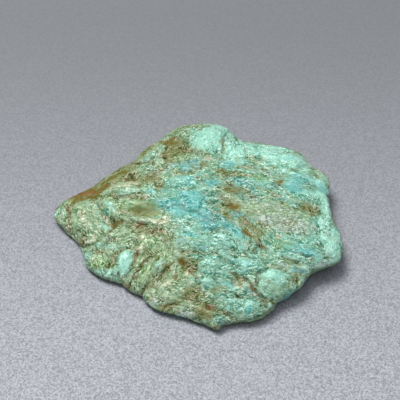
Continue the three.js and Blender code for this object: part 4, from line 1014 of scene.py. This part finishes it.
def build_stone():
    """The stone, with what its material needs at each vertex kept in attributes. A value on the top
    is read from the plan and turns into noise or a fixed value on the wall and underneath."""
    fields = stone_fields()
    weights = colour_weights(fields)
    points, faces, drawn, top = stone_shape(fields)
    x, y = drawn[:, 0], drawn[:, 1]

    def on_top(field, elsewhere):
        return blend(elsewhere, read_plan(field, x, y), top)

    hidden = {}
    for name, (size, seed, low, high) in HIDDEN_PATCHES.items():
        hidden[name] = fade(cloud(points, size, seed) + 0.5 * cloud(points, size / 3, seed + 1), low, high)
    tint = {name: on_top(weights[name], hidden[name]) for name in PATCHES}
    grain = cloud(points, *HIDDEN_GRAIN)
    web = on_top(np.maximum(fields["web"], fade(fields["cut"], 0.1, 0.7)), 0.5 * fade(grain, 0.3, 0.8))
    low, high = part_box("turquoise")
    mesh = make_mesh("turquoise_stone", fit_to_box(points, low, high), faces)
    for name, colours in TINTS.items():
        add_attribute(mesh, name, [tint[colour_name] for colour_name in colours])
    add_attribute(mesh, "form", [on_top(fields["crest"], grain), on_top(fields["edge"], grain), web])
    add_attribute(mesh, "lie", [
        on_top(np.cos(2 * fields["turn"]), 1), on_top(np.sin(2 * fields["turn"]), 0), top,
    ])
    add_attribute(mesh, "grain", [
        on_top(fields["streaks"], grain), on_top(fields["smooth"], 0), tint["turquoise"],
    ])
    stone = bpy.data.objects.new("turquoise_stone", mesh)
    bpy.context.scene.collection.objects.link(stone)
    return stone


def linear(hex_colour):
    """An sRGB colour as the linear numbers that a shader takes."""
    parts = [int(hex_colour[k:k + 2], 16) / 255 for k in (1, 3, 5)]
    return [p / 12.92 if p <= 0.04045 else ((p + 0.055) / 1.055) ** 2.4 for p in parts]


class Wire:
    """One output of a material's nodes. Arithmetic on wires and numbers adds Math nodes."""

    def __init__(self, board, socket):
        self.board = board
        self.socket = socket

    def math(self, operation, *values, clamp=False):
        return self.board.add("Math", {"operation": operation, "use_clamp": clamp}, dict(enumerate(values)))

    def __add__(self, other):
        return self.math("ADD", self, other)

    def __sub__(self, other):
        return self.math("SUBTRACT", self, other)

    def __rsub__(self, other):
        return self.math("SUBTRACT", other, self)

    def __mul__(self, other):
        return self.math("MULTIPLY", self, other)

    __radd__ = __add__
    __rmul__ = __mul__

    def clamped(self):
        """This value, kept between 0 and 1."""
        return self.math("ADD", self, 0, clamp=True)

    def off(self, value):
        """How far this is from a value, either way."""
        gap = self - value
        return gap.math("ABSOLUTE", gap)

    def at_least(self, low):
        """The larger of this and low."""
        return self.math("MAXIMUM", self, low)

    def between(self, low, high):
        """Rises smoothly from 0 at low to 1 at high."""
        settings = {"interpolation_type": "SMOOTHSTEP"}
        return self.board.add("MapRange", settings, {"Value": self, "From Min": low, "From Max": high})


class Board:
    """A material and its nodes."""

    def __init__(self, name):
        self.material = bpy.data.materials.new(name)
        self.material.use_nodes = True
        self.tree = self.material.node_tree
        self.tree.nodes.clear()

    def add(self, kind, settings=None, inputs=None, output=0):
        """Adds a ShaderNode of this kind, sets it, then joins or sets its sockets."""
        node = self.tree.nodes.new("ShaderNode" + kind)
        for name, value in (settings or {}).items():
            setattr(node, name, value)
        for name, value in (inputs or {}).items():
            if isinstance(value, Wire):
                self.tree.links.new(value.socket, node.inputs[name])
            else:
                node.inputs[name].default_value = value
        return Wire(self, node.outputs[output]) if node.outputs else None

    def split(self, name):
        """The three numbers of one vertex attribute."""
        vector = self.add("Attribute", {"attribute_name": name}, output="Vector")
        parts = self.add("SeparateXYZ", None, {0: vector})
        return [Wire(self, parts.socket.node.outputs[k]) for k in range(3)]

    def mix(self, a, b, factor):
        """Colour a turning into colour b."""
        return self.add("Mix", {"data_type": "RGBA"}, {0: factor, 6: a, 7: b}, 2)

    def scale(self, colour_wire, factor):
        """A colour with all its parts multiplied by a number that varies."""
        return self.add("VectorMath", {"operation": "SCALE"}, {0: colour_wire, "Scale": factor})

    def vector(self, operation, a, b, output=0):
        """One operation on two colours or directions, such as ADD or DOT_PRODUCT."""
        return self.add("VectorMath", {"operation": operation}, {0: a, 1: b}, output)

    def drawn_out(self, place, across, towards, size, stretch):
        """Texture coordinates whose cells are size metres wide and stretch times as long along the
        grain. The grain is taken as the nearest of three directions a third of a turn apart:
        across and towards are the cosine and sine of its doubled angle."""
        ways = [self.add("Mapping", {"vector_type": "TEXTURE"}, {
            "Vector": place, "Rotation": (0, 0, math.radians(turn)), "Scale": (size * stretch, size, size),
        }) for turn in (0, 60, 120)]
        second = towards.math("GREATER_THAN", towards * 0.866 - across * 0.5, 0.5)
        third = towards.math("GREATER_THAN", towards * -0.866 - across * 0.5, 0.5)
        drawn = self.add("Mix", {"data_type": "VECTOR"}, {0: second, 4: ways[0], 5: ways[1]}, 1)
        return self.add("Mix", {"data_type": "VECTOR"}, {0: third, 4: drawn, 5: ways[2]}, 1)

    def plates(self, drawn):
        """Plates that meet along thin cracks. Returns how far each place is from the nearest crack,
        three random numbers for its plate, and the plate's own slant, about -0.5 to 0.5."""
        gap = self.add("TexVoronoi", {"feature": "DISTANCE_TO_EDGE"}, {"Vector": drawn, "Scale": 1.0})
        chance = self.add("TexVoronoi", {"feature": "F1"}, {"Vector": drawn, "Scale": 1.0}, "Color")
        middle = Wire(self, chance.socket.node.outputs["Position"])
        parts = self.add("SeparateXYZ", None, {0: chance}).socket.node.outputs
        lean = self.vector("SUBTRACT", chance, (0.5, 0.5, 0.5))
        slant = self.vector("DOT_PRODUCT", self.vector("SUBTRACT", drawn, middle), lean, "Value")
        return gap, [Wire(self, parts[k]) for k in range(3)], slant

    def noise(self, place, size, detail=2.0, roughness=0.55):
        """Noise from 0 to 1 with features of this size in metres."""
        values = {"Vector": place, "Scale": 1 / size, "Detail": detail, "Roughness": roughness}
        return self.add("TexNoise", None, values)


def colour(name):
    """One of the stone's colours as a shader takes it."""
    return (*linear(COLOURS[name]), 1)


def lay(board, base, name, amount):
    """Mixes one of the stone's colours over the base by an amount that varies."""
    return board.mix(base, colour(name), amount)


def lay_patch(board, base, name, weight, torn, cover):
    """Lays a colour over the base where its weight, moved up or down by the torn noise, is high.
    It fades out where the weight itself is near 0."""
    amount = (weight * 1.35 - 0.2 + torn).clamped() * weight.between(0.0, 0.3)
    return lay(board, base, name, amount * cover)


def threads(board, drawn):
    """Thin light and dark lines along the grain: where a noise crosses its middle value. The light
    lines are painted highlights off the edges of crests, the dark ones fine cracks. A third noise
    says which of the two shows."""
    noises = board.add("TexNoise", None, {"Vector": drawn, "Scale": 1.0, "Detail": 2.0}, "Color")
    noises = board.add("SeparateXYZ", None, {0: noises}).socket.node.outputs
    light, dark, where = [Wire(board, noises[k]) for k in range(3)]
    which = where.between(0.4, 0.6)
    light = (1 - light.off(0.5).between(0.0, 0.035)) * which
    dark = (1 - dark.off(0.5).between(0.0, 0.03)) * (1 - which)
    return light, dark


def stone_skin(board):
    """What the material reads at each place: the mesh's attributes, noises, and the plates, dashes
    and threads that are drawn out along the grain."""
    skin = SimpleNamespace(tint={})
    for name, colours in TINTS.items():
        skin.tint.update(zip(colours, board.split(name)))
    skin.crest, skin.edge, skin.web = board.split("form")
    skin.streak, skin.smooth, skin.turquoise = board.split("grain")
    across, towards, skin.top = board.split("lie")

    place = board.add("TexCoord", output="Object")
    skin.mottle = board.noise(place, MOTTLE_SIZE, 1.5, 0.5)
    skin.speck = board.noise(place, SPECK_SIZE, 1.0, 0.5)
    skin.calm = board.noise(place, CALM_SIZE, 2.0, 0.5).between(0.42, 0.60)
    warp = board.add("TexNoise", None, {"Vector": place, "Scale": 1 / WARP_SIZE, "Detail": 2.0}, "Color")
    warp = board.vector("MULTIPLY", board.vector("SUBTRACT", warp, (0.5, 0.5, 0.5)), (WARP_REACH,) * 3)
    bent = board.vector("ADD", place, warp)

    def drawn(width, stretch):
        return board.drawn_out(bent, across, towards, width, stretch)

    skin.gap, (skin.tone, skin.hue, skin.third), skin.slant = board.plates(drawn(PLATE_WIDTH, 2.0))
    fine = board.plates(drawn(FINE_PLATE_WIDTH, 2.2))
    skin.fine_gap, (skin.fine_tone, skin.fine_hue, _), skin.fine_slant = fine
    # Short dashes along the grain, which the light marks use as pale flecks and painted glints.
    grit = board.add("TexVoronoi", None, {"Vector": drawn(DASH_WIDTH, 2.4), "Scale": 1.0}, "Color")
    skin.grit = board.add("SeparateXYZ", None, {0: grit})
    skin.light_thread, skin.dark_thread = threads(board, drawn(THREAD_WIDTH, 3.2))
    return skin


def add_marks(skin):
    """Where the stone is rough or clean, where it is low or dipped and gets painted shade, where it is
    high and gets a painted highlight, and where seams run between its plates.
    """
    olive, ochre = skin.tint["olive"], skin.tint["ochre"]
    blue = (skin.tint["sky"] + skin.tint["mint"] * 0.6).clamped()
    skin.rough = (0.35 + skin.smooth * 0.65) * (1.25 - skin.calm * 0.65 - blue * 0.35)
    skin.clean = 1 - (olive * 0.25 + ochre * 0.75).clamped()
    skin.plain = 1 - (ochre * 1.2).clamped() * 0.8
    # Low ground between the crests: painted shade, darkened towards brown in the colour.
    skin.low = (0 - skin.crest).between(0.1, 1.9)
    # Small dips below the nearby relief: painted shade, in the colour and in the light marks.
    skin.dip = (0 - skin.edge + (skin.speck - 0.5) * 1.0).between(0.6, 2.4) * skin.plain
    # High crests and edges: painted highlights in the light marks, and glossier.
    skin.high = (skin.edge + skin.crest * 0.3 + (skin.speck - 0.5) * 2.0).between(0.9, 2.8)
    shown = (skin.third * 2.4 - 1.2 + (skin.mottle - 0.5) * 3.0).clamped()
    skin.seam = ((1 - skin.gap.between(0.02, 0.12)) * shown * skin.rough).clamped()


def stone_colour(board, skin):
    """Sage and turquoise, the patches over them, then brown painted shade in low ground and small dips,
    and brown in cracks and seams. The patches' edges are torn by noise, and those of the rust and
    the cracks more finely."""
    torn = (skin.mottle - 0.5) * 1.4 + (skin.hue - 0.5) * 0.3
    finely_torn = (skin.speck - 0.5) * 2.4 + (skin.fine_hue - 0.5) * 1.2
    base = board.mix(colour("sage"), colour("turquoise"), (skin.turquoise + torn * 0.7).clamped())
    for name, ragged, cover in LAYERS:
        base = lay_patch(board, base, name, skin.tint[name], torn * ragged, cover)
    base = lay_patch(board, base, "rust", skin.tint["rust"], finely_torn, RUST_COVER)
    blue = skin.turquoise.clamped()
    # Painted shade: low ground darkened towards brown, less on ochre and on blue.
    base = lay(board, base, "painted_low_shade", skin.low * skin.plain * (0.46 - blue * 0.24))
    web = (skin.web * 1.3 + finely_torn * 0.3 - 0.35).clamped()
    base = lay(board, base, "crack", web * (0.7 - blue * 0.2))
    # Seams are brown cracks between the plates; small dips get a little of the same brown as painted shade.
    return lay(board, base, "seam", skin.seam * 0.55 + skin.dip * 0.12)


def marks_and_painted_light(skin):
    """How much lighter or darker each place is, much of it painted light: flecks that are partly
    painted glints, threads whose light ones are painted highlights, painted highlights on crests,
    veins that are partly painted sheen, an even painted sheen where the stone is clean, painted
    shade in dips, and darker streaks and seams.
    """
    vein = (skin.streak + (skin.fine_tone - 0.5) * 1.2).between(1.0, 2.4)
    dark = (0 - skin.streak + (skin.fine_tone - 0.5) * 1.2).between(1.0, 2.4)
    # Pale and dark flecks: partly the stone's own grains, partly painted glints off tiny facets.
    fleck = (skin.tone - 0.5) * 0.15 + (skin.fine_tone - 0.5) * 0.5
    fleck = fleck + skin.grit.between(0.35, 1.0) * 1.3 - 0.52
    # Flecks and threads on rough ground; the light threads are painted highlights, the dark ones fine
    # cracks.
    light = (fleck + skin.light_thread - skin.dark_thread * 0.6) * skin.rough * skin.clean
    # Painted highlights on high crests, and pale veins along the grain that are partly painted sheen.
    light = light + (skin.high * 0.24 + vein * 0.2) * skin.clean
    # An even painted sheen where the stone is clean, minus painted shade in dips, darker streaks and seams.
    light = light + skin.clean * 0.12 - skin.dip * 0.08 - dark * 0.1 - skin.seam * 0.15
    return light.at_least(DARKEST)


def stone_bumps(skin):
    """Ledges: each plate has a height and a slant of its own, and falls off at its edge."""
    ledges = (0.3 + skin.tone * 0.6 + skin.slant * 1.2) * skin.gap.between(0.0, 0.12)
    fine = (0.3 + skin.fine_hue * 0.6 + skin.fine_slant * 1.2) * skin.fine_gap.between(0.0, 0.2)
    bumps = (ledges * (0.2 + skin.third * 0.4) + fine * 0.5) * skin.rough * skin.top
    return bumps + (skin.speck - 0.5) * 0.4 + (skin.mottle - 0.5) * 0.3


def stone_material():
    """The stone's colour with its light and dark marks added, many of them painted highlights, glints,
    sheen and shade, its gloss and its small ledges. High places are glossier than low ones."""
    board = Board("rough_turquoise")
    skin = stone_skin(board)
    add_marks(skin)
    base = stone_colour(board, skin)
    light = marks_and_painted_light(skin)
    # Painted light: the painted highlights, glints, sheen and shade of the light marks scale the colour and
    # add or take away pale grey.
    base = board.vector("ADD", board.scale(base, 1 + light * 0.35), board.scale(GLINT, light))
    roughness = 0.52 - skin.high * 0.12 + skin.dip * 0.2 - (skin.fine_tone - 0.5) * 0.3
    roughness = (roughness + skin.tint["ochre"] * 0.2).clamped()
    normal = board.add("Bump", None, {
        "Strength": 0.8, "Distance": BUMP_HEIGHT, "Height": stone_bumps(skin),
    })
    shader = board.add("BsdfPrincipled", None, {
        "Base Color": base, "Roughness": roughness, "Normal": normal, "IOR": 1.5,
        "Specular IOR Level": 0.35,
    })
    board.add("OutputMaterial", None, {"Surface": shader})
    return board.material


def floor_material():
    """Grey grit, painted lighter towards the camera as a falloff of light, and with stronger flecks there.
    """
    board = Board("grey_ground")
    place = board.add("TexCoord", output="Object")
    parts = board.add("SeparateXYZ", None, {0: place})
    depth = Wire(board, parts.socket.node.outputs[1])
    near = (depth * -1).between(*GROUND_PAINTED_FALLOFF)
    grain = board.noise(place, GROUND_GRAIN, 1.0, 0.5)
    fleck = board.add("TexVoronoi", None, {"Vector": place, "Scale": 1 / GROUND_FLECK}, "Color")
    fleck = board.add("SeparateXYZ", None, {0: fleck})
    # Painted light: darker far off and lighter near.
    base = board.mix(GROUND_FAR_PAINTED_DIM, GROUND_NEAR_PAINTED_LIT, near)
    base = board.scale(base, 1 + ((fleck - 0.5) * 1.15 + (grain - 0.5) * 0.5) * (near * 0.5 + 0.14))
    shader = board.add("BsdfPrincipled", None, {"Base Color": base, "Roughness": 0.75})
    board.add("OutputMaterial", None, {"Surface": shader})
    return board.material


def build_floor():
    """A square of ground at height 0."""
    half = GROUND_HALF
    points = np.array([(-half, -half, 0), (half, -half, 0), (half, half, 0), (-half, half, 0)])
    mesh = make_mesh("ground", points, np.array([(0, 1, 2), (0, 2, 3)]))
    floor = bpy.data.objects.new("ground", mesh)
    bpy.context.scene.collection.objects.link(floor)
    mesh.materials.append(floor_material())


def aim(thing, at):
    """Turns a camera or light so that it looks at a point."""
    thing.rotation_euler = (Vector(at) - thing.location).to_track_quat("-Z", "Y").to_euler()


def add_camera():
    """The camera stands CAMERA_DISTANCE from what it looks at, in front of it and above."""
    camera = bpy.data.objects.new("camera", bpy.data.cameras.new("camera"))
    camera.data.lens = CAMERA_LENS
    camera.data.clip_start = CAMERA_NEAREST
    aim_x, aim_y, aim_z = CAMERA_AIM
    back, up = math.cos(CAMERA_RISE), math.sin(CAMERA_RISE)
    camera.location = (aim_x, aim_y - CAMERA_DISTANCE * back, aim_z + CAMERA_DISTANCE * up)
    bpy.context.scene.collection.objects.link(camera)
    aim(camera, CAMERA_AIM)
    bpy.context.scene.camera = camera


def add_light(name, place, size, power, tint):
    """A square area light that faces the stone."""
    light = bpy.data.lights.new(name, "AREA")
    light.size = size
    light.energy = power
    light.color = tint
    lamp = bpy.data.objects.new(name, light)
    lamp.location = place
    bpy.context.scene.collection.objects.link(lamp)
    aim(lamp, (0, 0, 0))


def add_lights():
    """The lights, a weak bluish sky, and colours shown as they are."""
    for light in LIGHTS:
        add_light(*light)
    world = bpy.data.worlds.new("studio")
    world.use_nodes = True
    world.node_tree.nodes["Background"].inputs["Color"].default_value = SKY_COLOUR
    world.node_tree.nodes["Background"].inputs["Strength"].default_value = SKY_STRENGTH
    bpy.context.scene.world = world
    bpy.context.scene.view_settings.view_transform = "Standard"


add_camera()
add_lights()
build_floor()
stone = build_stone()
stone.data.materials.append(stone_material())
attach(stone, "root")
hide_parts("turquoise")
